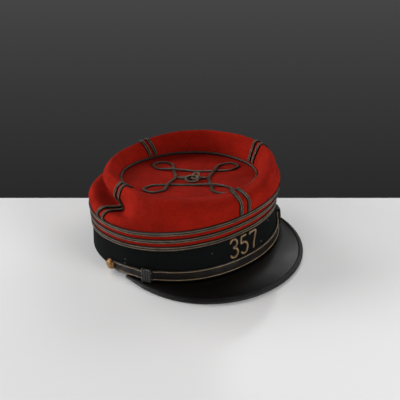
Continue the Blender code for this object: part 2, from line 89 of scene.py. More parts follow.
crown = {
    "thickness": 0.0020,
    "height": 0.084,
    "flare": 0.0030,
    "braidZone": 0.0220,
    "foldDepth": 0.0240,
    "seamHalfLength": 0.070,
    "seamHalfWidth": 0.071,
    "seamForward": 0.003,
    "seamLeft": 0.0075,
    "seamDepth": 0.020,
    "fallLeft": 0.10,
    "fallRear": 0.06,
    "topThickness": 0.0018,  # the solid's is 0.0020
    "topSag": 0.0012,  # the solid's top is flat
    "cordDiameter": 0.0026,
    "unevenness": 0.00035,  # of the free cloth, which the solid leaves smooth
    "looseFrom": 0.24,  # where the cloth lies free, as shares of the rows from band to seam
    "looseTo": 0.93,
    "looseBlend": 0.10,
}
topGap = fit["clearance"] + crown["thickness"] * math.hypot(crown["fallLeft"], crown["fallRear"])
# How the soft crown lies folded, one row for each direction in degrees: the flare of the wall, then
# for each line of the folds its share of foldDepth and of the crown's height above the braids.
foldRows = np.array([
    (0, 1.00, -0.12, 0.330, -0.15, 0.460, -0.13, 0.560, -0.04, 0.650, 0.15, 0.730),
    (40, 1.00, -0.12, 0.266, -0.12, 0.460, -0.08, 0.625, 0.05, 0.815, 0.32, 0.950),
    (66, 1.00, -0.14, 0.190, -0.10, 0.342, 0.04, 0.545, 0.25, 0.823, 0.52, 1.000),
    (80, 0.80, -0.16, 0.114, -0.02, 0.266, 0.45, 0.241, 0.62, 0.646, 0.86, 0.924),
    (96, 0.40, -0.09, 0.089, 0.12, 0.190, 1.04, 0.064, 0.81, 0.519, 1.08, 0.823),
    (120, -0.25, 0.00, 0.114, 0.20, 0.317, 0.98, 0.190, 0.71, 0.620, 1.00, 0.873),
    (150, -0.20, 0.04, -0.012, 0.22, 0.190, 0.88, 0.140, 0.67, 0.646, 0.96, 0.899),
    (180, 0.20, 0.02, 0.114, 0.15, 0.266, 0.79, 0.216, 0.67, 0.646, 0.96, 0.899),
    (215, 0.80, -0.12, 0.190, 0.00, 0.367, 0.67, 0.342, 0.60, 0.696, 0.90, 0.924),
    (250, 1.00, -0.15, 0.216, -0.04, 0.393, 0.40, 0.443, 0.38, 0.722, 0.68, 0.924),
    (282, 1.00, -0.17, 0.241, -0.08, 0.418, 0.15, 0.545, 0.10, 0.747, 0.36, 0.949),
    (315, 1.20, -0.19, 0.266, -0.14, 0.469, 0.00, 0.620, 0.00, 0.798, 0.22, 0.949),
    (340, 1.00, -0.15, 0.310, -0.15, 0.465, -0.12, 0.570, -0.04, 0.665, 0.17, 0.750),
])
foldLines = ("flare", "nose", "noseUp", "shoulder", "shoulderUp", "crease", "creaseUp", "roll",
             "rollUp", "crest", "crestUp")


def foldValue(line, angles):
    # one fold line's value in each direction: a periodic cubic through the rows
    column = 1 + foldLines.index(line)
    knots = np.radians(foldRows[:, 0])
    values = foldRows[:, column]
    knots = np.concatenate([knots[-2:] - 2 * math.pi, knots, knots[:2] + 2 * math.pi])
    values = np.concatenate([values[-2:], values, values[:2]])
    slopes = np.zeros_like(values)
    slopes[1:-1] = (values[2:] - values[:-2]) / (knots[2:] - knots[:-2])
    turned = np.mod(angles, 2 * math.pi)
    left = np.searchsorted(knots, turned, side="right") - 1
    width = knots[left + 1] - knots[left]
    s = (turned - knots[left]) / width
    return ((1 + 2 * s) * (1 - s) ** 2 * values[left] + s * (1 - s) ** 2 * width * slopes[left]
            + s ** 2 * (3 - 2 * s) * values[left + 1] + s ** 2 * (s - 1) * width * slopes[left + 1])


def smoothLine(controls, between, closed=False):
    # centripetal Catmull-Rom through the controls; each control may itself be a row of points
    controls = np.asarray(controls, dtype=float)
    if closed:
        padded = np.concatenate([controls[-1:], controls, controls[:2]])
    else:
        before, after = 2 * controls[:1] - controls[1:2], 2 * controls[-1:] - controls[-2:-1]
        padded = np.concatenate([before, controls, after])
    spans = len(padded) - 3
    counts = [between] * spans if np.isscalar(between) else list(between)
    line = []
    for index in range(spans):
        a, b, c, d = padded[index:index + 4]
        k1 = np.linalg.norm(b - a, axis=-1, keepdims=True) ** 0.5
        k2 = k1 + np.linalg.norm(c - b, axis=-1, keepdims=True) ** 0.5
        k3 = k2 + np.linalg.norm(d - c, axis=-1, keepdims=True) ** 0.5
        for step in range(counts[index] + 1):
            t = k1 + (k2 - k1) * step / (counts[index] + 1)
            ab, bc = a + (b - a) * t / k1, b + (c - b) * (t - k1) / (k2 - k1)
            cd = c + (d - c) * (t - k2) / (k3 - k2)
            abc, bcd = ab + (bc - ab) * t / k2, bc + (cd - bc) * (t - k1) / (k3 - k1)
            line.append(abc + (bcd - abc) * (t - k1) / (k2 - k1))
    if not closed:
        line.append(controls[-1])
    return np.array(line)


def evenSteps(line, count, closed=False):
    # the same line with its points at even distances
    if closed:
        line = np.concatenate([line, line[:1]])
    lengths = np.concatenate([[0], np.cumsum(np.linalg.norm(np.diff(line, axis=0), axis=1))])
    places = np.linspace(0, lengths[-1], count + 1 if closed else count)
    even = np.stack([np.interp(places, lengths, line[:, axis]) for axis in range(line.shape[1])], axis=1)
    return even[:-1] if closed else even


def headings(line, closed):
    # unit steps from the point before to the point after
    ahead = np.roll(line, -1, axis=0) - np.roll(line, 1, axis=0) if closed else np.gradient(line, axis=0)
    return unit(ahead)


def ripple(points, scale, seed):
    # a smooth unevenness between -1 and 1: products of sines with unrelated wave lengths
    x, y, z = (points[..., axis] / scale for axis in range(3))
    return (np.sin(1.7 * x + seed) * np.sin(1.3 * y + 2.1 * seed) + np.sin(2.3 * z + 1.1 * x + seed * 0.7)
            * np.sin(2.9 * y - 0.8 * z) + 0.5 * np.sin(4.1 * x - 3.3 * y + seed)) / 2.5


def restTurn():
    # a turn about X by the arc tangent of the floor's slope in the band's frame
    tip = math.atan(restSlope)
    return np.array([[1, 0, 0], [0, math.cos(tip), math.sin(tip)], [0, -math.sin(tip), math.cos(tip)]])


def toRest(points):
    # from the band's frame to the cap at rest, tipped back on its peak and the rear of its band
    return points @ restTurn().T + np.array([0, fit["shiftBack"], fit["shiftUp"]])


def floorHeight(y):
    # the floor in the band's frame: a slope that falls forwards from the rear of the band
    return fit["floorPress"] - restSlope * (band["halfLength"] - y)


def pressedFlat(points):
    # each height is the larger of its own and the floor's
    points = np.array(points)
    points[..., 2] = np.maximum(points[..., 2], floorHeight(points[..., 1]))
    return points


def bandBottom(angles):
    # dips towards the front as half of one plus the cosine
    return -band["frontDip"] * (1 + np.cos(angles)) / 2


def jointHeight(angles):
    # the joint of band and crown: a level plus a rise in proportion to the distance forwards
    return band["height"] + band["frontRise"] * bandRadius(angles) * np.cos(angles) / band["halfLength"]


def wallPoint(angles, rise):
    # outer face of band and lower crown: the radius leans in below the joint and flares above it
    angles = np.asarray(angles, dtype=float)
    rise = np.broadcast_to(np.asarray(rise, dtype=float), angles.shape)
    joint = jointHeight(angles)
    share = -rise / (joint - bandBottom(angles))
    spread = crown["flare"] * foldValue("flare", angles) + band["topInset"]
    below = -band["topInset"] * (1 - share)
    above = -band["topInset"] + spread * rise / crown["braidZone"]
    lean = np.where(rise < 0, below, above)
    point = outward(angles) * (bandRadius(angles) + lean)[..., None]
    point[..., 2] = joint + rise
    return point


def wallNormal(angles, rise):
    # the cross product of two small steps on the wall, one up and one along it
    small = 0.0005
    along = wallPoint(angles + small, rise) - wallPoint(angles - small, rise)
    up = wallPoint(angles, rise + small) - wallPoint(angles, rise - small)
    return unit(np.cross(up, along))


def topPlane(points):
    # lifts points from height 0 to the seam's plane, which falls to the left and the rear
    points = np.array(points, dtype=float)
    points[..., 2] += (crown["height"] - crown["seamDepth"] - crown["fallLeft"] * points[..., 0]
                       - crown["fallRear"] * points[..., 1])
    return points


def topDip(points):
    # how far the flat top sags: most in the middle, nothing at its seam, with a few soft ripples
    x = (points[..., 0] - crown["seamLeft"]) / crown["seamHalfWidth"]
    y = (points[..., 1] + crown["seamForward"]) / crown["seamHalfLength"]
    inside = np.clip(1 - x ** 2 - y ** 2, 0, 1)
    return crown["topSag"] * inside + 0.0004 * inside ** 0.5 * ripple(points, 0.013, 2.0)


def seamRing(angles, grow=0.0):
    # the oval round the flat top, moved left and forwards, in the top's sloping plane
    radius = ovalRadius(angles, crown["seamHalfLength"], crown["seamHalfWidth"]) + grow
    return topPlane(outward(angles) * radius[..., None]
                    + np.array([crown["seamLeft"], -crown["seamForward"], 0]))


def crownLines(angles, between):
    # the crown's outer face in each direction: up from the band, over the bulge, into the fold,
    # over the rolled rim and down to the seam of the top
    def at(line):
        radius = bandRadius(angles) - crown["foldDepth"] * foldValue(line, angles)
        point = outward(angles) * radius[..., None]
        point[..., 2] = braidsTop + (crown["height"] - braidsTop) * foldValue(line + "Up", angles)
        return point

    zone = crown["braidZone"]
    braidsTop = band["height"] + zone
    crest = at("crest")
    seam = seamRing(angles)
    aboveSeam = seam + np.array([0, 0, crown["cordDiameter"] + 3 * fit["clearance"]])
    inner = aboveSeam + (crest - aboveSeam) * np.array([0.42, 0.42, 0.58])
    controls = [wallPoint(angles, fit["clearance"] / 2), wallPoint(angles, zone * 0.5),
                wallPoint(angles, zone * 0.93), wallPoint(angles, zone), at("nose"), at("shoulder"),
                at("crease"), at("roll"), crest, inner, aboveSeam, seam]
    return smoothLine(controls, between)


def pieceFrom(name, points, quads, caps, uvs, material, nodes):
    # points (n, 3), quads (m, 4), caps as point lists, uvs (m, 4, 2) in centimetres
    mesh = bpy.data.meshes.new(name)
    mesh.from_pydata(toRest(points).tolist(), [], quads.tolist() + [list(cap) for cap in caps])
    layer = mesh.uv_layers.new(name="cloth")
    flat = np.zeros((len(mesh.loops), 2))
    flat[:quads.size] = uvs.reshape(-1, 2)
    layer.data.foreach_set("uv", flat.ravel())
    mesh.materials.append(material)
    mesh.shade_smooth()
    mesh.update()
    piece = bpy.data.objects.new(name, mesh)
    bpy.context.scene.collection.objects.link(piece)
    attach(piece, "root")
    if nodes:
        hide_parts(*nodes)
    return piece


def gridQuads(rows, columns, closedRows, closedColumns):
    # quads of a grid whose point (r, c) has the index r * columns + c
    r, c = np.meshgrid(np.arange(rows if closedRows else rows - 1),
                       np.arange(columns if closedColumns else columns - 1),
                       indexing="ij")
    r, c = r.ravel(), c.ravel()
    r2, c2 = (r + 1) % rows, (c + 1) % columns
    quads = np.stack([r * columns + c, r * columns + c2, r2 * columns + c2, r2 * columns + c], axis=1)
    steps = np.stack([np.stack([c, r], 1), np.stack([c + 1, r], 1), np.stack([c + 1, r + 1], 1),
                      np.stack([c, r + 1], 1)], 1)
    return quads, steps.astype(float)


def uvOfSteps(steps, across, along):
    # looks up distances (with one more at the end where a grid closes) for each corner of each quad
    u = np.interp(steps[..., 0], np.arange(len(across)), across)
    v = np.interp(steps[..., 1], np.arange(len(along)), along)
    return np.stack([u, v], axis=-1) * 100


def distances(line, closed):
    # the running sum of the steps between the points, from 0
    if closed:
        line = np.concatenate([line, line[:1]])
    return np.concatenate([[0], np.cumsum(np.linalg.norm(np.diff(line, axis=0), axis=1))])


def endCaps(rows, columns):
    # closes both ends of a tube whose rings are rows of points
    return [range(columns - 1, -1, -1), range((rows - 1) * columns, rows * columns)]


def sheetPiece(name, grid, closedAround, material, nodes, thickness=0.0, flip=False, cap=None):
    # a grid of rows (up the cap) by columns (round it) as one surface, thickened inwards
    rows, columns = grid.shape[:2]
    quads, steps = gridQuads(rows, columns, False, closedAround)
    uvs = uvOfSteps(steps, distances(grid[0], closedAround), distances(grid[:, 0], False))
    if flip:
        quads, uvs = quads[:, ::-1], uvs[:, ::-1]
    caps = [] if cap is None else [cap]
    piece = pieceFrom(name, grid.reshape(-1, 3), quads, caps, uvs, material, nodes)
    if thickness:
        wall = piece.modifiers.new("Wall", "SOLIDIFY")
        wall.thickness = thickness
        wall.offset = -1.0
        wall.use_even_offset = False
    return piece


def profileAlong(name, centres, across, up, profile, widths, heights, material, nodes, closed):
    # carries a closed profile (share of width, share of height) along a path
    profile = np.asarray(profile, dtype=float)
    count, sides = len(centres), len(profile)
    widths = np.broadcast_to(np.asarray(widths, dtype=float), (count,))
    heights = np.broadcast_to(np.asarray(heights, dtype=float), (count,))
    if np.dot(np.cross(across[0], up[0]), centres[1] - centres[0]) < 0:
        profile = profile[::-1]
    points = (centres[:, None] + across[:, None] * (widths[:, None] * profile[:, 0])[..., None]
              + up[:, None] * (heights[:, None] * profile[:, 1])[..., None])
    quads, steps = gridQuads(count, sides, closed, True)
    long = distances(centres, closed)
    # u runs along the path, v is the share across the width (1 at one edge, 0 at the other)
    share = np.append(profile[:, 0], profile[0, 0]) + 0.5
    u = np.interp(steps[..., 1], np.arange(len(long)), long) * 100
    v = np.interp(steps[..., 0], np.arange(len(share)), share)
    caps = [] if closed else endCaps(count, sides)
    return pieceFrom(name, points.reshape(-1, 3), quads, caps, np.stack([u, v], -1), material, nodes)


def twoRibs(steps=7):
    # profile of a flat braid: two round ribs side by side on a thin base
    half = np.linspace(0, math.pi, steps)
    reach = 0.25 * (1 - np.cos(half))
    rise = 0.12 + 0.95 * np.sin(half) ** 0.7
    top = np.concatenate([np.stack([0.5 - reach, rise], axis=1), np.stack([-reach, rise], axis=1)[1:]])
    return np.concatenate([[(-0.5, -0.2), (0.5, -0.2)], top])


def roundedStrip(softness=0.3, steps=4):
    # a flat strip with rounded upper edges
    turn = np.linspace(0, math.pi / 2, steps)
    corner = np.stack([0.5 - 0.06 * (1 - np.cos(turn)), 1 - softness + softness * np.sin(turn)], axis=1)
    mirrored = corner[::-1] * np.array([-1, 1])
    return np.concatenate([[(-0.5, 0.0), (0.5, 0.0)], corner, mirrored])


def wraps(count=4, steps=6):
    # several round wraps side by side on a flat base
    share = np.linspace(0.5, -0.5, count * steps + 1)
    rise = 0.45 + 0.55 * np.abs(np.sin(math.pi * count * (share + 0.5))) ** 0.6
    return np.concatenate([[(-0.5, 0.0), (0.5, 0.0)], np.stack([share, rise], axis=1)])


def domed(steps=11):
    # a stitched stroke: flat beneath, rounded on top
    turn = np.linspace(0, math.pi, steps)
    return np.concatenate([np.stack([0.5 * np.cos(turn), 0.15 + 0.85 * np.sin(turn)], axis=1),
                           [(-0.46, -0.1), (0.46, -0.1)]])


def roundProfile(sides=12):
    # a circle one across
    turn = fullTurn(sides)
    return np.stack([np.cos(turn), np.sin(turn)], axis=1) * 0.5


def nodeGroup(name, inputs, outputs):
    # an empty shader group with its named sockets
    group = bpy.data.node_groups.new(name, "ShaderNodeTree")
    for label, kind, value in inputs:
        socket = group.interface.new_socket(name=label, in_out="INPUT", socket_type=kind)
        if value is not None:
            socket.default_value = value
    for label, kind in outputs:
        group.interface.new_socket(name=label, in_out="OUTPUT", socket_type=kind)
    return group, group.nodes.new("NodeGroupInput"), group.nodes.new("NodeGroupOutput")


def addNode(tree, kind, links=None, **settings):
    # adds a node, sets its own properties, then fills or links its inputs
    node = tree.nodes.new(kind)
    for key, value in settings.items():
        setattr(node, key, value)
    for key, value in (links or {}).items():
        if isinstance(value, bpy.types.NodeSocket):
            tree.links.new(value, node.inputs[key])
        else:
            node.inputs[key].default_value = value
    return node


def mathNode(tree, operation, first, second=None):
    # one sum, product or other step on numbers or sockets
    node = addNode(tree, "ShaderNodeMath", operation=operation)
    for index, value in enumerate((first, second)):
        if isinstance(value, bpy.types.NodeSocket):
            tree.links.new(value, node.inputs[index])
        elif value is not None:
            node.inputs[index].default_value = value
    return node.outputs[0]


def mixColours(tree, factor, first, second):
    # the first colour at factor 0, the second at 1
    node = addNode(tree, "ShaderNodeMix", data_type="RGBA")
    for socket, value in ((node.inputs[0], factor), (node.inputs[6], first), (node.inputs[7], second)):
        if isinstance(value, bpy.types.NodeSocket):
            tree.links.new(value, socket)
        else:
            socket.default_value = value if socket is node.inputs[0] else (*value, 1.0)[:4]
    return node.outputs[2]


def stretch(tree, value, low, high, newLow=0.0, newHigh=1.0):
    # a straight line from (low, newLow) to (high, newHigh), level beyond both ends
    node = addNode(tree, "ShaderNodeMapRange",
                   {"From Min": low, "From Max": high, "To Min": newLow, "To Max": newHigh})
    tree.links.new(value, node.inputs["Value"])
    return node.outputs[0]


def makeNapGroup():
    # the matted fibres of wool cloth: short streaks over a fine grain, with broad soft patches
    group, given, out = nodeGroup("woolNap", [("Vector", "NodeSocketVector", None),
                                              ("Fineness", "NodeSocketFloat", 1.0)],
                                  [("Patches", "NodeSocketFloat"), ("Fibres", "NodeSocketFloat"),
                                   ("Height", "NodeSocketFloat")])
    vector = given.outputs["Vector"]
    fine = mathNode(group, "MULTIPLY", given.outputs["Fineness"], 1400.0)
    streaks = addNode(group, "ShaderNodeMapping",
                      {"Vector": vector, "Rotation": (0.5, 0.3, 0.9), "Scale": (1.0, 0.35, 0.8)})
    grain = addNode(group, "ShaderNodeTexNoise",
                    {"Vector": streaks.outputs[0], "Scale": fine, "Detail": 3.0, "Roughness": 0.62})
    lumps = addNode(group, "ShaderNodeTexNoise",
                    {"Vector": vector, "Scale": 330.0, "Detail": 3.0, "Roughness": 0.55})
    patches = addNode(group, "ShaderNodeTexNoise",
                      {"Vector": vector, "Scale": 42.0, "Detail": 4.0, "Roughness": 0.6})
    group.links.new(stretch(group, patches.outputs[0], 0.32, 0.68), out.inputs["Patches"])
    group.links.new(stretch(group, grain.outputs[0], 0.30, 0.70), out.inputs["Fibres"])
    height = mathNode(group, "ADD", mathNode(group, "MULTIPLY", grain.outputs[0], 0.6), lumps.outputs[0])
    group.links.new(height, out.inputs["Height"])
    return group


def makeThreadGroup():
    # metal thread laid slanting over a core: stripes along u, turned one way on each rib
    group, given, out = nodeGroup("wrappedThread",
                                  [("Vector", "NodeSocketVector", None),
                                   ("Threads", "NodeSocketFloat", 14.0),
                                   ("Slant", "NodeSocketFloat", 3.0),
                                   ("Ribs", "NodeSocketFloat", 2.0)],
                                  [("Stripe", "NodeSocketFloat"), ("Tarnish", "NodeSocketFloat"),
                                   ("Top", "NodeSocketFloat"), ("Height", "NodeSocketFloat")])
    parts = addNode(group, "ShaderNodeSeparateXYZ", {"Vector": given.outputs["Vector"]})
    within = mathNode(group, "FRACT", mathNode(group, "MULTIPLY", parts.outputs[1], given.outputs["Ribs"]))
    rib = mathNode(group, "ABSOLUTE", mathNode(group, "SUBTRACT", within, 0.5))
    # Top is 1 on each rib's crest and falls to 0 at its edges and in the valley between ribs; the finishes
    # use it for painted shade
    group.links.new(stretch(group, rib, 0.05, 0.33, 1.0, 0.0), out.inputs["Top"])
    along = mathNode(group, "MULTIPLY", parts.outputs[0], given.outputs["Threads"])
    phase = mathNode(group, "ADD", along, mathNode(group, "MULTIPLY", rib, given.outputs["Slant"]))
    wave = mathNode(group, "SINE", mathNode(group, "MULTIPLY", phase, 2 * math.pi))
    stripe = mathNode(group, "ADD", mathNode(group, "MULTIPLY", wave, 0.5), 0.5)
    place = addNode(group, "ShaderNodeTexCoord")
    blotch = addNode(group, "ShaderNodeTexNoise",
                     {"Vector": place.outputs["Object"], "Scale": 120.0, "Detail": 4.0, "Roughness": 0.65})
    speck = addNode(group, "ShaderNodeTexNoise",
                    {"Vector": place.outputs["Object"], "Scale": 900.0, "Detail": 2.0, "Roughness": 0.6})
    tarnish = stretch(group, mathNode(group, "ADD", mathNode(group, "MULTIPLY", blotch.outputs[0], 0.7),
                                      mathNode(group, "MULTIPLY", speck.outputs[0], 0.3)), 0.38, 0.62)
    group.links.new(stripe, out.inputs["Stripe"])
    group.links.new(tarnish, out.inputs["Tarnish"])
    group.links.new(mathNode(group, "ADD", stripe, mathNode(group, "MULTIPLY", speck.outputs[0], 0.8)),
                    out.inputs["Height"])
    return group


def makeGrainGroup():
    # leather: small cells with creases between them, worn smoother in patches
    group, given, out = nodeGroup("leatherGrain",
                                  [("Vector", "NodeSocketVector", None),
                                   ("Scale", "NodeSocketFloat", 900.0)],
                                  [("Wear", "NodeSocketFloat"), ("Height", "NodeSocketFloat")])
    vector = given.outputs["Vector"]
    cells = addNode(group, "ShaderNodeTexVoronoi",
                    {"Vector": vector, "Scale": given.outputs["Scale"], "Randomness": 0.9},
                    feature="DISTANCE_TO_EDGE")
    broad = addNode(group, "ShaderNodeTexNoise",
                    {"Vector": vector, "Scale": 70.0, "Detail": 5.0, "Roughness": 0.6})
    fine = addNode(group, "ShaderNodeTexNoise",
                   {"Vector": vector, "Scale": 700.0, "Detail": 3.0, "Roughness": 0.6})
    edge = stretch(group, cells.outputs["Distance"], 0.0, 0.18)
    group.links.new(stretch(group, broad.outputs[0], 0.42, 0.66), out.inputs["Wear"])
    group.links.new(mathNode(group, "ADD", edge, fine.outputs[0]), out.inputs["Height"])
    return group


napGroup, threadGroup, grainGroup = makeNapGroup(), makeThreadGroup(), makeGrainGroup()
print("node groups made")


def newFinish(name):
    # a material, with its tree, its shader and its texture coordinates
    material = bpy.data.materials.new(name)
    material.use_nodes = True
    tree = material.node_tree
    return material, tree, tree.nodes["Principled BSDF"], addNode(tree, "ShaderNodeTexCoord")


def useGroup(tree, group, **values):
    # places a shader group and fills or links its inputs
    node = tree.nodes.new("ShaderNodeGroup")
    node.node_tree = group
    for key, value in values.items():
        if isinstance(value, bpy.types.NodeSocket):
            tree.links.new(value, node.inputs[key])
        else:
            node.inputs[key].default_value = value
    return node


def bumpInto(tree, shader, height, strength, distance):
    # turns a height into the shader's normal
    bump = addNode(tree, "ShaderNodeBump", {"Height": height, "Strength": strength, "Distance": distance})
    tree.links.new(bump.outputs[0], shader.inputs["Normal"])


def woolFinish(name, deep, plain, lifted, bump, fineness=1.0, lint=0.0):
    # three tones of one dye, mixed by the nap, with the nap raised as bump and a soft sheen
    material, tree, shader, place = newFinish(name)
    nap = useGroup(tree, napGroup, Vector=place.outputs["Object"], Fineness=fineness)
    tone = mixColours(tree, nap.outputs["Patches"], deep, plain)
    tone = mixColours(tree, mathNode(tree, "MULTIPLY", nap.outputs["Fibres"], 0.55), tone, lifted)
    if lint:
        flecks = addNode(tree, "ShaderNodeTexVoronoi",
                         {"Vector": place.outputs["Object"], "Scale": 190.0, "Randomness": 1.0})
        chosen = mathNode(tree, "GREATER_THAN",
                          addNode(tree, "ShaderNodeSeparateColor",
                                  {"Color": flecks.outputs["Color"]}).outputs[0], 0.93)
        near = stretch(tree, flecks.outputs["Distance"], 0.05, 0.16, 1.0, 0.0)
        tone = mixColours(tree, mathNode(tree, "MULTIPLY", mathNode(tree, "MULTIPLY", chosen, near), lint),
                          tone, (0.30, 0.28, 0.25))
    tree.links.new(tone, shader.inputs["Base Color"])
    shader.inputs["Roughness"].default_value = 0.92
    shader.inputs["Specular IOR Level"].default_value = 0.05
    shader.inputs["Sheen Weight"].default_value = 0.03
    shader.inputs["Sheen Roughness"].default_value = 0.5
    shader.inputs["Sheen Tint"].default_value = (*(min(1.0, part * 1.6 + 0.05) for part in lifted), 1.0)
    bumpInto(tree, shader, nap.outputs["Height"], 0.55, bump)
    return material


def braidFinish(name, dark, light, threads=16.0, slant=0.9, ribs=2.0, metal=0.5, bump=0.0003):
    # tarnished metal thread: light and dull patches, dark between the turns, with painted shade low on the
    # ribs: near black at their edges and in the valley between them
    material, tree, shader, place = newFinish(name)
    thread = useGroup(tree, threadGroup, Vector=place.outputs["UV"], Threads=threads, Slant=slant,
                      Ribs=ribs)
    tone = mixColours(tree, thread.outputs["Tarnish"], tuple(0.45 * part for part in light), light)
    tone = mixColours(tree, mathNode(tree, "MULTIPLY", thread.outputs["Stripe"], 0.5), tone, dark)
    # painted shade: near black where Top is low, at the rib edges and between the ribs, so the crests read
    # lighter
    tone = mixColours(tree, thread.outputs["Top"], tuple(0.3 * part for part in dark), tone)
    tree.links.new(tone, shader.inputs["Base Color"])
    shader.inputs["Metallic"].default_value = metal
    tree.links.new(stretch(tree, thread.outputs["Tarnish"], 0.0, 1.0, 0.55, 0.36),
                   shader.inputs["Roughness"])
    bumpInto(tree, shader, thread.outputs["Height"], 0.7, bump)
    return material


def leatherFinish(name, dark, worn, roughDark, roughWorn, coat, scale, bump, shine):
    # dark leather, paler and smoother where it is worn, with its cells as bump
    material, tree, shader, place = newFinish(name)
    grain = useGroup(tree, grainGroup, Vector=place.outputs["Object"], Scale=scale)
    tree.links.new(mixColours(tree, grain.outputs["Wear"], dark, worn), shader.inputs["Base Color"])
    tree.links.new(stretch(tree, grain.outputs["Wear"], 0.0, 1.0, roughDark, roughWorn),
                   shader.inputs["Roughness"])
    shader.inputs["Coat Weight"].default_value = coat
    shader.inputs["Coat Roughness"].default_value = 0.2
    shader.inputs["Specular IOR Level"].default_value = shine
    bumpInto(tree, shader, grain.outputs["Height"], 0.5, bump)
    return material


def brassFinish():
    # metal, brighter and smoother where it is worn, with a fine pitting as bump
    material, tree, shader, place = newFinish("agedBrass")
    grain = useGroup(tree, grainGroup, Vector=place.outputs["Object"], Scale=1600.0)
    tree.links.new(mixColours(tree, grain.outputs["Wear"], (0.17, 0.085, 0.034), (0.44, 0.25, 0.105)),
                   shader.inputs["Base Color"])
    tree.links.new(stretch(tree, grain.outputs["Wear"], 0.0, 1.0, 0.50, 0.34), shader.inputs["Roughness"])
    shader.inputs["Metallic"].default_value = 1.0
    bumpInto(tree, shader, grain.outputs["Height"], 0.12, 0.0001)
    return material


redWool = woolFinish("redWool", (0.110, 0.0026, 0.0012), (0.222, 0.0060, 0.0022), (0.37, 0.0160, 0.0058),
                     bump=0.0007)
darkWool = woolFinish("darkWool", (0.0015, 0.0019, 0.0020), (0.0030, 0.0037, 0.0039),
                      (0.0085, 0.0090, 0.0090), bump=0.0005, fineness=1.3, lint=0.7)
# the braid, cord, knot, numeral and stitch finishes below carry painted shade at their rib edges through
# braidFinish
greyBraid = braidFinish("tarnishedBraid", (0.010, 0.007, 0.005), (0.315, 0.225, 0.14))
darkBraid = braidFinish("darkBraid", (0.007, 0.005, 0.004), (0.245, 0.178, 0.112))
goldBraid = braidFinish("goldBraid", (0.030, 0.018, 0.010), (0.56, 0.40, 0.24))
cordBraid = braidFinish("twistedCord", (0.020, 0.013, 0.008), (0.20, 0.14, 0.09), threads=7.0, slant=1.6,
                        ribs=1.0, metal=0.4)
goldThread = braidFinish("goldThread", (0.10, 0.045, 0.016), (0.60, 0.40, 0.20), threads=26.0, slant=0.5,
                         ribs=1.0, metal=0.4, bump=0.0002)
patentLeather = leatherFinish("patentLeather", (0.0014, 0.0011, 0.0011), (0.0036, 0.0023, 0.0020),
                              roughDark=0.40, roughWorn=0.31, coat=0.05, scale=420.0, bump=0.00006,
                              shine=0.20)
boundLeather = leatherFinish("boundLeather", (0.0018, 0.0015, 0.0015), (0.0060, 0.0052, 0.0050),
                             roughDark=0.52, roughWorn=0.42, coat=0.03, scale=1100.0, bump=0.00015,
                             shine=0.22)
strapLeather = leatherFinish("strapLeather", (0.0020, 0.0014, 0.0010), (0.0080, 0.0048, 0.0032),
                             roughDark=0.50, roughWorn=0.40, coat=0.03, scale=900.0, bump=0.0002,
                             shine=0.16)
keeperLeather = leatherFinish("keeperLeather", (0.0016, 0.0015, 0.0013), (0.0055, 0.0048, 0.0040),
                              roughDark=0.36, roughWorn=0.26, coat=0.2, scale=900.0, bump=0.0002,
                              shine=0.36)
stitchThread = braidFinish("stitchThread", (0.18, 0.12, 0.06), (0.54, 0.39, 0.22), threads=30.0, slant=0.8,
                           ribs=1.0, metal=0.0, bump=0.0001)
agedBrass = brassFinish()
print("finishes made")


around = fullTurn(360)
crownSteps = (7, 5, 1, 7, 7, 7, 9, 9, 7, 5, 2)  # points added between the crown's lines


def makeCrown():
    # the folded wall, then the sunken top as ovals between its middle and the seam
    grid = crownLines(around, crownSteps)
    # the cloth's own unevenness, none where braids and seams hold it
    share = np.linspace(0, 1, len(grid))[:, None]
    blend = crown["looseBlend"]
    fromBelow = np.clip((share - crown["looseFrom"]) / blend, 0, 1)
    fromAbove = np.clip((crown["looseTo"] - share) / blend, 0, 1)
    swell = fromBelow * fromAbove * crown["unevenness"] * ripple(grid, 0.011, 0.4)
    heart = np.array([0, 0, 0.05])  # a point inside the cap that the swell points away from
    grid = grid + unit(grid - heart) * swell[..., None]
    sheetPiece("crownWall", grid, True, redWool, ["crown_wall"], crown["thickness"],
               flip=True)

    rim = seamRing(around, crown["thickness"])
    middle = topPlane(np.array([crown["seamLeft"], -crown["seamForward"], 0.0]))
    shares = np.linspace(0.02, 1, 50)[:, None, None]
    disc = middle + (rim - middle) * shares
    disc[..., 2] -= topGap + topDip(disc)
    sheetPiece("crownTop", disc, True, redWool, ["crown_top"], crown["topThickness"],
               cap=range(len(around)))


def makeBand():
    # rows down the outer face, over the edge and back up the inner one, a wall's thickness inwards
    outerRows, innerRows = 25, 13
    depth = jointHeight(around) - fit["clearance"] / 2 - bandBottom(around)
    shares = np.concatenate([np.linspace(1.0, 0.0, outerRows), [0.0], np.linspace(0.0, 1.0, innerRows)])
    inset = np.concatenate([np.zeros(outerRows), [0.5], np.ones(innerRows)]) * band["thickness"]
    rows = [wallPoint(around, -fit["clearance"] / 2 - share * depth) - outward(around) * step
            for share, step in zip(shares, inset)]
    rows.append(rows[-1] + outward(around) * band["thickness"] / 2)
    grid = pressedFlat(np.array(rows))
    quads, steps = gridQuads(len(grid), len(around), True, True)
    uvs = uvOfSteps(steps, distances(grid[0], True), distances(grid[:, 0], True))
    pieceFrom("bandCloth", grid.reshape(-1, 3), quads[:, ::-1], [], uvs[:, ::-1], darkWool,
              ["band"])


braids = {
    "rankCount": 3,
    "rankWidth": 0.0050,
    "rankPitch": 0.0093,
    "quarterWidth": 0.0042,
    "thickness": 0.0013,
    "spacing": 2 * math.pi / 60,
    "wander": 0.00018,
    "quarterPoints": 110,
    "quarters": {"front": 0.0, "right": 96.0, "rear": 186.0, "left": 288.0},
}


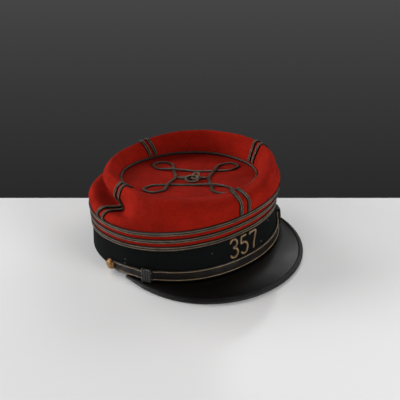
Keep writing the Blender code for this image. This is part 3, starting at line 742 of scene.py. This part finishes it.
def makeRankBraids():
    # level rings on the wall at even heights, with a slight wander up and down
    angles = fullTurn(480)
    for level in range(braids["rankCount"]):
        centre = level * braids["rankPitch"]
        low = wallPoint(angles, centre - braids["rankWidth"] / 2)
        high = wallPoint(angles, centre + braids["rankWidth"] / 2)
        up = unit(np.cross(high - low, np.roll(low, -1, axis=0) - np.roll(low, 1, axis=0)))
        wander = braids["wander"] * ripple(low, 0.016, 1.0 + level)[:, None]
        centres = (low + high) / 2 + up * fit["clearance"] + unit(high - low) * wander
        profileAlong("rankBraid%d" % (level + 1), centres, unit(high - low), up, twoRibs(),
                     braids["rankWidth"], braids["thickness"], greyBraid,
                     ["rank_braid_%d" % (level + 1)], True)


def makeQuarterBraids():
    # each follows the crown's own line in its direction, from the rank braids to the seam cord
    between = (3, 3, 1, 9, 9, 9, 11, 11, 9, 7, 3)
    count = braids["quarterPoints"]
    for place, degrees in braids["quarters"].items():
        index = round(math.radians(degrees) / braids["spacing"])
        for number, side in ((1, -1), (2, 1)):
            middle = (index + side / 2) * braids["spacing"]
            angles = np.array([middle - 0.002, middle, middle + 0.002])
            lines = crownLines(angles, between)
            lines = lines[9:-4]  # from just above the rank braids to the seam cord
            centre = evenSteps(lines[:, 1], count)
            left, right = evenSteps(lines[:, 0], count), evenSteps(lines[:, 2], count)
            across = unit(right - left)
            ahead = headings(centre, False)
            up = unit(np.cross(ahead, across))
            across = unit(np.cross(up, ahead))
            ends = np.minimum(np.arange(count), np.arange(count)[::-1])
            heights = braids["thickness"] * np.clip(0.35 + ends / 4, 0, 1)
            profileAlong("quarterBraid%s%d" % (place.capitalize(), number), centre + up * fit["clearance"],
                         across, up, twoRibs(), braids["quarterWidth"], heights, darkBraid,
                         ["quarter_braid_%s_%d" % (place, number)], False)


def makeSeamCord():
    # a round cord just inside the seam's oval, lying on the top
    angles = fullTurn(420)
    radius = crown["cordDiameter"] / 2
    centres = seamRing(angles, -fit["clearance"] - radius) + np.array([0, 0, radius])
    up = np.tile([0.0, 0.0, 1.0], (len(angles), 1))
    profileAlong("seamCord", centres, outward(angles), up, roundProfile(), 2 * radius, 2 * radius,
                 cordBraid, ["crown_seam_cord"], True)


knot = {
    "arm": 0.060,
    "loopWidth": 0.0095,
    "pinch": 0.86,
    "strandWidth": 0.0030,
    "strandThickness": 0.0012,
    "forward": 0.0085,
    "left": 0.007,
    "turnDegrees": 1.0,
    "halfSide": 0.34,  # of the square in the middle, as a share of the arm
    "ringDegrees": 140.0,
    "ringWidth": 0.0023,
    "ringLift": 1.4,
    "climbMiddle": 0.054,
    "climbHalf": 0.048,
    # name, replaced nodes, then place, half size and climb, as shares of the arm
    "rings": (("knotRing", ["knot_ring"], (-0.135, 0.0), (0.154, 0.107), 0.0),
              ("knotRingLinked", [], (-0.005, 0.062), (0.154, 0.061), 0.7)),
}


def knotStrand(name, points, count, nodes, width=knot["strandWidth"], material=darkBraid):
    # a closed smooth line through the points, laid on the sloping, sagging top
    points = evenSteps(smoothLine(points, 10, closed=True), count, closed=True)
    turn = math.radians(knot["turnDegrees"])
    forward = points[:, 0] * math.cos(turn) + points[:, 1] * math.sin(turn)
    left = points[:, 1] * math.cos(turn) - points[:, 0] * math.sin(turn)
    heights = points[:, 2] + fit["clearance"] - topGap
    centres = topPlane(np.stack([knot["left"] + left, -knot["forward"] - forward, heights], 1))
    centres[:, 2] -= topDip(centres)
    up = np.tile(unit(np.array([crown["fallLeft"], crown["fallRear"], 1.0])), (count, 1))
    across = unit(np.cross(headings(centres, True), up))
    profileAlong(name, centres, across, up, twoRibs(), width, knot["strandThickness"], material,
                 nodes, True)


def makeKnot():
    # one strand runs round a square and swings out in a loop at each corner, over itself; a long
    # loop lies across the middle, with two linked rings on it
    stepOver = knot["strandThickness"] + fit["clearance"]
    arm, loopWidth = knot["arm"], knot["loopWidth"]
    halfSide = knot["halfSide"] * arm
    corners = []
    for quarter in range(4):
        turn = quarter * math.pi / 2
        side = halfSide * (knot["pinch"] if quarter % 2 else 1.0)
        outline = np.array([
            (side * math.cos(-math.pi / 4), side * math.sin(-math.pi / 4), 0.0),
            (0.52 * arm, 0.0, stepOver),
            (0.76 * arm, loopWidth, 0.0), (0.95 * arm, 0.72 * loopWidth, 0.0), (arm, 0.0, 0.0),
            (0.95 * arm, -0.72 * loopWidth, 0.0), (0.76 * arm, -loopWidth, 0.0), (0.52 * arm, 0.0, 0.0)])
        spin = np.array([[math.cos(turn), -math.sin(turn), 0], [math.sin(turn), math.cos(turn), 0],
                         [0, 0, 1]])
        corners.append(outline @ spin.T)
    knotStrand("knotLoops", np.concatenate(corners), 700, ["knot_loops"])

    turns = fullTurn(16)
    slant = math.pi / 4
    longReach = (knot["pinch"] * halfSide - knot["strandWidth"] - 2 * fit["clearance"]) * np.cos(turns)
    wide = 0.9 * knot["strandWidth"] * np.sin(turns)
    bar = np.stack([longReach * math.cos(slant) - wide * math.sin(slant),
                    longReach * math.sin(slant) + wide * math.cos(slant), 0 * turns], axis=1)
    knotStrand("knotBar", bar, 160, ["knot_bar"])
    # two oval rings linked at the middle: the second climbs over the first on one side only
    for name, nodes, place, size, climb in knot["rings"]:
        away, aside = arm * (place[0] + size[0] * np.cos(turns)), arm * (place[1] + size[1] * np.sin(turns))
        rise = climb * (aside / arm - knot["climbMiddle"]) / knot["climbHalf"]
        lift = stepOver * (knot["ringLift"] + rise)
        depthwise, sidewise = math.radians(knot["ringDegrees"]), math.radians(knot["ringDegrees"] - 90)
        ring = np.stack([away * math.cos(depthwise) + aside * math.cos(sidewise),
                         away * math.sin(depthwise) + aside * math.sin(sidewise), lift], axis=1)
        knotStrand(name, ring, 140, nodes, knot["ringWidth"], goldBraid)


numerals = {
    "height": 0.0205,
    "pitch": 0.0132,
    "baseHeight": 0.0100,
    "stroke": 0.0030,
    "relief": 0.0011,
    "spread": 1.15,  # how much wider the threads lie than the stroke
    "points": 120,
    "order": ("3", "5", "7"),
    "strokes": {
        "3": ((-0.20, 0.80), (-0.12, 0.96), (0.06, 0.99), (0.20, 0.86), (0.17, 0.64), (-0.01, 0.54),
              (0.17, 0.44), (0.22, 0.22), (0.07, 0.04), (-0.13, 0.05), (-0.22, 0.21)),
        "5": ((0.20, 0.97), (-0.04, 0.97), (-0.14, 0.95), (-0.16, 0.84), (-0.18, 0.62), (0.00, 0.63),
              (0.18, 0.52), (0.21, 0.27), (0.08, 0.05), (-0.11, 0.04), (-0.22, 0.18)),
        "7": ((-0.22, 0.84), (-0.20, 0.96), (-0.05, 0.97), (0.14, 0.97), (0.22, 0.92), (0.14, 0.66),
              (0.03, 0.36), (-0.02, 0.03)),
    },
}


def makeNumerals():
    # each stroke is a smooth line bent round the band, with a domed profile carried along it
    count = numerals["points"]
    frontRadius = bandRadius(np.array([0.0]))[0]
    middle = (len(numerals["order"]) - 1) / 2
    for index, digit in enumerate(numerals["order"]):
        controls = np.array(numerals["strokes"][digit]) * numerals["height"]
        line = evenSteps(smoothLine(controls, 8), count)
        ahead = headings(line, False)
        side = np.stack([ahead[:, 1], -ahead[:, 0]], axis=1)

        def onBand(flat):
            angles = -((index - middle) * numerals["pitch"] + flat[:, 0]) / frontRadius
            rise = numerals["baseHeight"] + flat[:, 1] - jointHeight(angles)
            return wallPoint(angles, rise), wallNormal(angles, rise)

        half = side * numerals["stroke"] / 2
        low, high = onBand(line - half)[0], onBand(line + half)[0]
        up = onBand(line)[1]
        ends = np.minimum(np.arange(count), np.arange(count)[::-1])
        toEnd = ends / (count - 1) * distances(line, False)[-1]
        soften = np.sqrt(np.clip(toEnd / (0.5 * numerals["stroke"]), 0.05, 1))
        profileAlong("numeral%d" % (index + 1), (low + high) / 2 + up * 0.5 * fit["clearance"],
                     unit(high - low), up, domed(), numerals["stroke"] * numerals["spread"] * soften,
                     numerals["relief"] * (0.6 + 0.4 * soften), goldThread,
                     ["numeral_%d" % (index + 1)], False)


peak = {
    "reach": 0.0374,
    "cornerReach": 0.0026,
    "taper": 1.25,
    "drop": 0.0165,
    "halfAngle": math.radians(77.0),
    "camber": 0.0035,
    "thickness": 0.0022,
    "bindingDepth": 0.0042,
    "bindingLip": 0.0008,
    "bindingShare": 0.29,
    "restingShare": 0.55,  # of the half angle over which the edge lies on the floor
}
# the cap tips back until the peak's edge and the rear of the band reach the floor
peakFront = -(bandRadius(np.array([0.0]))[0] + peak["cornerReach"] + peak["reach"])
restSlope = peak["drop"] / (band["halfLength"] - peakFront)
edgeLift = peak["thickness"] + fit["clearance"] + peak["bindingLip"]


def peakRows(count, stations):
    # rows from under the band to the peak's edge: a straight line plus a parabola of camber
    angles = np.linspace(-1, 1, stations) * peak["halfAngle"]
    share = np.abs(angles) / peak["halfAngle"]
    rootZ = bandBottom(angles) - fit["clearance"]
    hidden = wallPoint(angles, bandBottom(angles) - jointHeight(angles))
    inner = hidden - outward(angles) * (0.8 * band["thickness"])
    outer = hidden + outward(angles) * (1.5 * fit["clearance"])
    inner[:, 2] = outer[:, 2] = rootZ
    fullness = np.maximum(np.cos(math.pi / 2 * share), 0.0) ** peak["taper"]
    reach = bandRadius(angles) + peak["cornerReach"] + peak["reach"] * fullness
    edge = outward(angles) * reach[..., None]
    resting = floorHeight(edge[..., 1]) - fit["floorPress"] + edgeLift
    climb = np.clip((share - peak["restingShare"]) / (1 - peak["restingShare"]), 0, 1) ** 2
    corner = bandBottom(angles) - 2 * fit["clearance"] - 0.5 * peak["thickness"]
    edge[..., 2] = resting + (corner - resting) * climb
    camber = peak["camber"] * np.maximum(np.cos(math.pi / 2 * share), 0)
    rows = [inner]
    for along in np.linspace(0, 1, count):
        row = outer + (edge - outer) * along
        row[:, 2] += camber * 4 * along * (1 - along)
        rows.append(row)
    return np.array(rows)


def makePeak():
    # the leather as one thickened sheet, then its bound edge: a lip's profile carried round it
    grid = peakRows(30, 200)
    sheetPiece("peakLeather", grid, False, patentLeather, ["peak"], peak["thickness"])

    rows = peakRows(13, 260)
    edge, outer = rows[-1], rows[1]
    along = headings(edge, False)
    out = unit(edge - rows[-2])
    up = unit(np.cross(along, out))
    up = up * np.sign(up[:, 2:3])
    out = unit(out - along * (out * along).sum(axis=1, keepdims=True))
    depth = np.minimum(peak["bindingDepth"], peak["bindingShare"] * np.linalg.norm(edge - outer, axis=1))
    slotHalf = peak["thickness"] / 2 + 0.0001
    tall = slotHalf + peak["bindingLip"]
    nose = fit["clearance"] + peak["bindingLip"]
    # outer skin from the lower lip's hem round the edge to the upper lip's hem, then back inside
    turn = np.linspace(-math.pi / 2, math.pi / 2, 9)
    skin = [(-1.0, -slotHalf - 0.0003), (-0.93, -tall), (-0.4, -tall)]
    rounded = [(nose * math.cos(t), tall * math.sin(t)) for t in turn]
    topSkin = [(-0.4, tall), (-0.93, tall), (-1.0, slotHalf + 0.0003)]
    inside = [(-1.0, slotHalf), (0.0, slotHalf), (0.0, -slotHalf), (-1.0, -slotHalf)]
    centres = edge - up * (peak["thickness"] / 2)
    columns = []
    for reach, rise in skin + rounded + topSkin + inside:
        reached = reach * depth if reach < 0 else np.full(len(depth), reach)
        columns.append(centres + out * reached[:, None] + up * rise)
    grid = pressedFlat(np.stack(columns, axis=1))
    count, sides = grid.shape[:2]
    quads, steps = gridQuads(count, sides, False, True)
    uvs = uvOfSteps(steps, distances(grid[count // 2], True), distances(centres, False))
    caps = endCaps(count, sides)
    pieceFrom("peakBinding", grid.reshape(-1, 3), quads, caps, uvs, boundLeather,
              ["peak_binding"])


strap = {
    "width": 0.0120,
    "thickness": 0.0016,
    "rise": 0.0013,
    "endDrop": 0.0035,
    "levelAngle": math.radians(68.0),
    "tabWidth": 0.0106,
    "tabEndWidth": 0.0090,
    "slideAngle": math.radians(62.0),
    "slideLength": 0.0085,
    "slideThickness": 0.0011,
    "strapPast": 1.6,  # where strap and tab end under the slide, in half lengths of the slide
    "tabPast": 1.4,
    "wrapSpread": 1.2,  # the wraps, as shares of the slide's length and thickness
    "wrapBulge": 1.25,
}
stitch = {
    "pitch": 0.0021,
    "tabPitch": 0.0018,
    "radius": 0.00043,
    "halfLength": 0.46,  # share of the pitch
    "slant": 0.15,
    "edgeShare": 0.36,  # of the strap's width, from its middle line
    "lift": 0.98,  # share of the strap's thickness
    "rings": 7,
    "sides": 6,
}


def slideHalfAngle():
    # half the slide's length over the band's half width
    return strap["slideLength"] / 2 / band["halfWidth"]


def strapOffset(angles):
    # a clearance, with a smooth swell under each slide: exp of minus the fourth power
    lift = strap["slideThickness"] + 1.5 * fit["clearance"]
    near = (np.abs(angles) - strap["slideAngle"]) / (2.5 * slideHalfAngle())
    return fit["clearance"] + lift * np.exp(-near ** 4)


def strapHeight(angles):
    # level over the peak, then falling towards the buttons behind the peak's corners
    past = np.clip((np.abs(angles) - strap["levelAngle"]) / (button["angle"] - strap["levelAngle"]), 0, 1)
    drop = strap["endDrop"] * past ** 2 * (3 - 2 * past)
    return bandBottom(angles) + strap["width"] / 2 + strap["rise"] - drop


def strapLine(angles, offset):
    # the strap's middle line on the wall, with its directions across and away from the wall
    rise = strapHeight(angles) - jointHeight(angles)
    normal = wallNormal(angles, rise)
    centres = wallPoint(angles, rise) + normal * offset[:, None]
    return centres, unit(np.cross(normal, headings(centres, False))), normal


def stitchLine(name, centres, across, normal, offsets, pitch):
    # short slanting stitches along one line beside a path: each a slim lens, all in one piece
    lengths = distances(centres, False)
    places = np.arange(pitch, lengths[-1] - pitch, pitch)

    def pick(values):
        return np.stack([np.interp(places, lengths, values[:, axis]) for axis in range(3)], axis=1)

    ahead = unit(pick(headings(centres, False)))
    side, up, middle = unit(pick(across)), unit(pick(normal)), pick(centres)
    offset = np.interp(places, lengths, np.broadcast_to(offsets, lengths.shape))
    middle = middle + side * offset[:, None] + up * strap["thickness"] * stitch["lift"]
    rings, sides = stitch["rings"], stitch["sides"]
    starts = range(0, rings * sides * len(places), rings * sides)
    t, turn = np.linspace(-1, 1, rings), fullTurn(sides)
    thick = stitch["radius"] * np.sqrt(np.clip(1 - t ** 2, 0.02, 1))
    body = (middle[:, None, None] + (ahead[:, None, None] + side[:, None, None] * stitch["slant"])
            * (t * pitch * stitch["halfLength"])[None, :, None, None]
            + side[:, None, None] * (thick[:, None] * np.cos(turn))[None, ..., None]
            + up[:, None, None] * (thick[:, None] * np.sin(turn))[None, ..., None])
    one, steps = gridQuads(rings, sides, False, True)
    quads = (one[None] + np.array(starts)[:, None, None]).reshape(-1, 4)
    uvs = np.tile(steps / np.array([sides, rings]), (len(places), 1, 1)) * 0.2 + np.array([0, 0.4])
    caps = [[start + point for point in cap] for cap in endCaps(rings, sides) for start in starts]
    if np.dot(np.cross(side[0], up[0]), ahead[0]) < 0:
        quads, uvs, caps = quads[:, ::-1], uvs[:, ::-1], [cap[::-1] for cap in caps]
    return pieceFrom(name, body.reshape(-1, 3), quads, caps, uvs, stitchThread, [])


def makeStrap():
    # the strap between the slides, then a tab over it on each side that settles onto the band
    end = strap["slideAngle"] + slideHalfAngle() * strap["strapPast"]
    angles = np.linspace(-end, end, 300)
    centres, across, normal = strapLine(angles, strapOffset(angles))
    profileAlong("chinStrap", centres, across, normal, roundedStrip(), strap["width"], strap["thickness"],
                 strapLeather, ["chin_strap"], False)
    for edge, sign in (("Low", -1), ("High", 1)):
        offset = sign * stitch["edgeShare"] * strap["width"]
        stitchLine("strapStitch" + edge, centres, across, normal, offset, stitch["pitch"])

    over = strap["thickness"] + fit["clearance"]
    start = strap["slideAngle"] - slideHalfAngle() * strap["tabPast"]
    finish = button["angle"] - (button["shankRadius"] + 2 * fit["clearance"]) / band["halfWidth"]
    for place, side in (("Right", 1), ("Left", -1)):
        share = np.linspace(0, 1, 90)
        angles = side * (start + (finish - start) * share)
        settle = np.clip((share - 0.45) / 0.35, 0, 1)
        drop = over * (settle ** 2 * (3 - 2 * settle))
        centres, across, normal = strapLine(angles, strapOffset(angles) + over - drop)
        width = strap["tabWidth"] + (strap["tabEndWidth"] - strap["tabWidth"]) * share ** 2
        node = "strap_tab_" + place.lower()
        profileAlong("strapTab" + place, centres, across * side, normal, roundedStrip(), width,
                     strap["thickness"], strapLeather, [node], False)
        for edge, sign in (("Low", -1), ("High", 1)):
            offset = sign * stitch["edgeShare"] * width
            stitchLine("tabStitch%s%s" % (place, edge), centres, across * side, normal, offset,
                       stitch["tabPitch"])


def makeSlides():
    # a leather keeper round strap and tab: a rounded band carried round a softened rectangle
    half = strap["width"] / 2 + fit["clearance"] + 0.25 * strap["slideThickness"]
    deep = 2 * strap["thickness"] + 4 * fit["clearance"]
    turn = fullTurn(48)
    squareness = 0.22
    loop = np.stack([half * np.sign(np.cos(turn)) * np.abs(np.cos(turn)) ** squareness,
                     deep / 2 + deep / 2 * np.sign(np.sin(turn)) * np.abs(np.sin(turn)) ** squareness],
                     axis=1)
    ahead = headings(loop, True)
    out = np.stack([ahead[:, 1], -ahead[:, 0]], axis=1)
    for place, side in (("Right", 1), ("Left", -1)):
        angles = side * (strap["slideAngle"] + np.array([-0.01, 0.0, 0.01]))
        centres, across, normal = strapLine(angles, strapOffset(angles) - 1.5 * fit["clearance"])
        centre, tall, lift = centres[1], across[1], normal[1]
        along = unit(np.cross(tall, lift))
        points = centre + loop[:, :1] * tall + loop[:, 1:] * lift
        away = out[:, :1] * tall + out[:, 1:] * lift
        profileAlong("strapSlide" + place, points, np.tile(along, (len(loop), 1)), away, wraps(),
                     strap["wrapSpread"] * strap["slideLength"],
                     strap["wrapBulge"] * strap["slideThickness"], keeperLeather,
                     ["strap_slide_" + place.lower()], True)


button = {
    "angle": math.radians(90.0),
    "radius": 0.0056,
    "rise": 0.0050,
    "shankRadius": 0.0018,
    "domeShare": 0.86,  # of the rise, so the visible dome is lower than the solid's
    "domeFoot": 0.0014,
    # the rolled rim, as shares of the radius and lifts above the seat
    "rim": ((0.90, 0.0), (0.98, 0.0003), (1.0, 0.0007), (0.98, 0.0011), (0.945, 0.0012)),
}


def makeButtons():
    # a turned dome on a short shank: rings of radius and lift about the wall's normal
    seat = 2 * fit["clearance"] + strap["thickness"]
    rise, foot = button["domeShare"] * button["rise"], button["domeFoot"]
    climb = np.linspace(0, 0.5 * math.pi * 0.97, 14)
    dome = np.stack([button["radius"] * 0.93 * np.cos(climb), seat + foot + (rise - foot) * np.sin(climb)],
                    axis=1)
    shank = [(button["shankRadius"], fit["clearance"]), (button["shankRadius"], seat)]
    rim = [(share * button["radius"], seat + lift) for share, lift in button["rim"]]
    profile = np.concatenate([shank, rim, dome])
    sides = 64
    turn = fullTurn(sides)
    for place, side in (("Right", 1), ("Left", -1)):
        angle = np.array([side * button["angle"]])
        height = strapHeight(angle) - jointHeight(angle)
        centre, axis = wallPoint(angle, height)[0], wallNormal(angle, height)[0]
        tangent = unit(np.cross(axis, [0.0, 0.0, 1.0]))
        other = np.cross(axis, tangent)
        ring = np.cos(turn)[:, None] * tangent + np.sin(turn)[:, None] * other
        grid = centre + axis * profile[:, 1][:, None, None] + ring[None] * profile[:, 0][:, None, None]
        quads, steps = gridQuads(len(profile), sides, False, True)
        pieceFrom("button" + place, grid.reshape(-1, 3), quads, endCaps(len(profile), sides), steps * 0.05,
                  agedBrass, ["button_" + place.lower()])


makeCrown()
makeBand()
print("cloth made")
makeRankBraids()
makeQuarterBraids()
makeSeamCord()
makeKnot()
makeNumerals()
print("braids made")
makePeak()
makeStrap()
makeSlides()
makeButtons()
print("leather and brass made")


studio = {
    "floorColour": (0.78, 0.78, 0.78),
    "floorRoughness": 0.15,
    # backdropLow and backdropHigh are the colours of the backdrop sheet's painted glow, near the table and
    # further off
    "backdropLow": (0.022, 0.022, 0.022),
    "backdropHigh": (0.068, 0.068, 0.068),
    "backdropDepth": 0.75,
    "roomColour": (0.045, 0.045, 0.045),
    # degrees from the camera's side, degrees of rise, watts, size
    "lights": {
        "rearLeft": (-130, 35, 9.5, 0.8),
        "left": (-95, 20, 21.0, 0.8),
        "frontLeft": (-40, 25, 5.5, 0.9),
        "frontRight": (52, 18, 18.0, 0.8),
        "rearRight": (135, 30, 6.5, 0.8),
        "sheen": (163, 37, 2.2, 0.6),
    },
    "lightDistance": 1.6,
    "sheetDepth": 3.0,
    "sheetHalfWidth": 2.5,
}
# where the photograph was taken from, in the band's frame, in metres
viewpoint = {
    "place": (-0.658774, -0.837600, 0.594722),
    "right": (0.764579, -0.641604, -0.061345),
    "up": (0.337002, 0.316825, 0.886595),
    "focalPixels": 1141.51,
    "shiftPixels": (-17.288, -7.225),
    "horizonPixel": 198.0,
}


def makeCamera():
    # the photograph's camera, carried along as the cap tips back to rest
    right, up = np.array(viewpoint["right"]), np.array(viewpoint["up"])
    back = np.cross(right, up)
    f, (sx, sy) = viewpoint["focalPixels"], viewpoint["shiftPixels"]
    # aimed so that the photograph's centre is the picture's centre, with no lens shift
    forward = unit(-back - right * sx / f + up * sy / f)
    right = unit(np.cross(forward, up))
    up = np.cross(right, forward)
    turn = restTurn()
    place = toRest(np.array(viewpoint["place"]))
    right, up, back = turn @ right, turn @ up, turn @ -forward
    data = bpy.data.cameras.new("Camera")
    data.sensor_width = 36.0
    data.lens = f * 36.0 / 400
    data.clip_end = 20.0
    camera = bpy.data.objects.new("Camera", data)
    bpy.context.scene.collection.objects.link(camera)
    matrix = np.eye(4)
    matrix[:3, 0], matrix[:3, 1], matrix[:3, 2], matrix[:3, 3] = right, up, back, place
    camera.matrix_world = Matrix(matrix.tolist())
    bpy.context.scene.camera = camera
    # the floor's far edge is where the rays of one pixel row meet the floor
    ends = []
    for column in (0.0, 400.0):
        ray = -back + right * (column - 200) / f + up * (200 - viewpoint["horizonPixel"]) / f
        ends.append(place + ray * (-place[2] / ray[2]))
    return ends


def plainFinish(name, colour, roughness):
    # one even colour and roughness
    material, _, shader, _ = newFinish(name)
    shader.inputs["Base Color"].default_value = (*colour, 1.0)
    shader.inputs["Roughness"].default_value = roughness
    return material


def stagePlane(name, corners, material):
    # four corners as one flat sheet of scenery
    mesh = bpy.data.meshes.new(name)
    mesh.from_pydata([corner.tolist() for corner in corners], [], [(0, 1, 2, 3)])
    mesh.materials.append(material)
    plane = bpy.data.objects.new(name, mesh)
    bpy.context.scene.collection.objects.link(plane)


def makeFloor(farLeft, farRight):
    # a white table as far as the line where the camera's horizon pixel row meets the floor, then a dark
    # sheet that glows with painted light, brighter further away, and so takes no shadow
    side = unit(farRight - farLeft)
    ahead = np.array([-side[1], side[0], 0.0])
    middle = (farLeft + farRight) / 2
    farSide, wide = studio["sheetDepth"] * ahead, studio["sheetHalfWidth"] * side
    stagePlane("table", [middle - wide - farSide, middle + wide - farSide, middle + wide, middle - wide],
               plainFinish("paleTable", studio["floorColour"], studio["floorRoughness"]))
    material, tree, shader, place = newFinish("glowingBackdropSheet")
    shader.inputs["Base Color"].default_value = (0.0, 0.0, 0.0, 1.0)
    shader.inputs["Specular IOR Level"].default_value = 0.0
    # painted light: the sheet is not lit but glows by emission, from backdropLow at the table's far line to
    # backdropHigh further off
    shader.inputs["Emission Strength"].default_value = 1.0
    fromLine = addNode(tree, "ShaderNodeVectorMath", {0: place.outputs["Object"], 1: tuple(ahead)},
                       operation="DOT_PRODUCT")
    start = float(middle @ ahead)
    share = stretch(tree, fromLine.outputs["Value"], start, start + studio["backdropDepth"])
    tree.links.new(mixColours(tree, share, studio["backdropLow"], studio["backdropHigh"]),
                   shader.inputs["Emission Color"])
    stagePlane("backdrop", [middle - wide, middle + wide, middle + wide + farSide, middle - wide + farSide],
               material)


def addLight(name, turnDegrees, riseDegrees, power, size):
    # turned from the camera's side of the cap, positive towards the picture's right
    back = bpy.context.scene.camera.matrix_world.to_3x3().col[2]
    turn = math.atan2(back[1], back[0]) + math.radians(turnDegrees)
    rise = math.radians(riseDegrees)
    aim = Vector((math.cos(rise) * math.cos(turn), math.cos(rise) * math.sin(turn), math.sin(rise)))
    data = bpy.data.lights.new(name, "AREA")
    data.energy, data.size = power, size
    light = bpy.data.objects.new(name, data)
    light.location = Vector((0, 0, 0.04)) + aim * studio["lightDistance"]
    light.rotation_euler = aim.to_track_quat("Z", "Y").to_euler()
    bpy.context.scene.collection.objects.link(light)


def makeLight():
    # a dim even room, then the area lights round the cap
    world = bpy.data.worlds.new("studio")
    bpy.context.scene.world = world
    world.use_nodes = True
    world.node_tree.nodes["Background"].inputs[0].default_value = (*studio["roomColour"], 1.0)
    for name, values in studio["lights"].items():
        addLight(name, *values)
    bpy.context.scene.view_settings.view_transform = "Standard"


makeFloor(*makeCamera())
makeLight()
print("studio made")
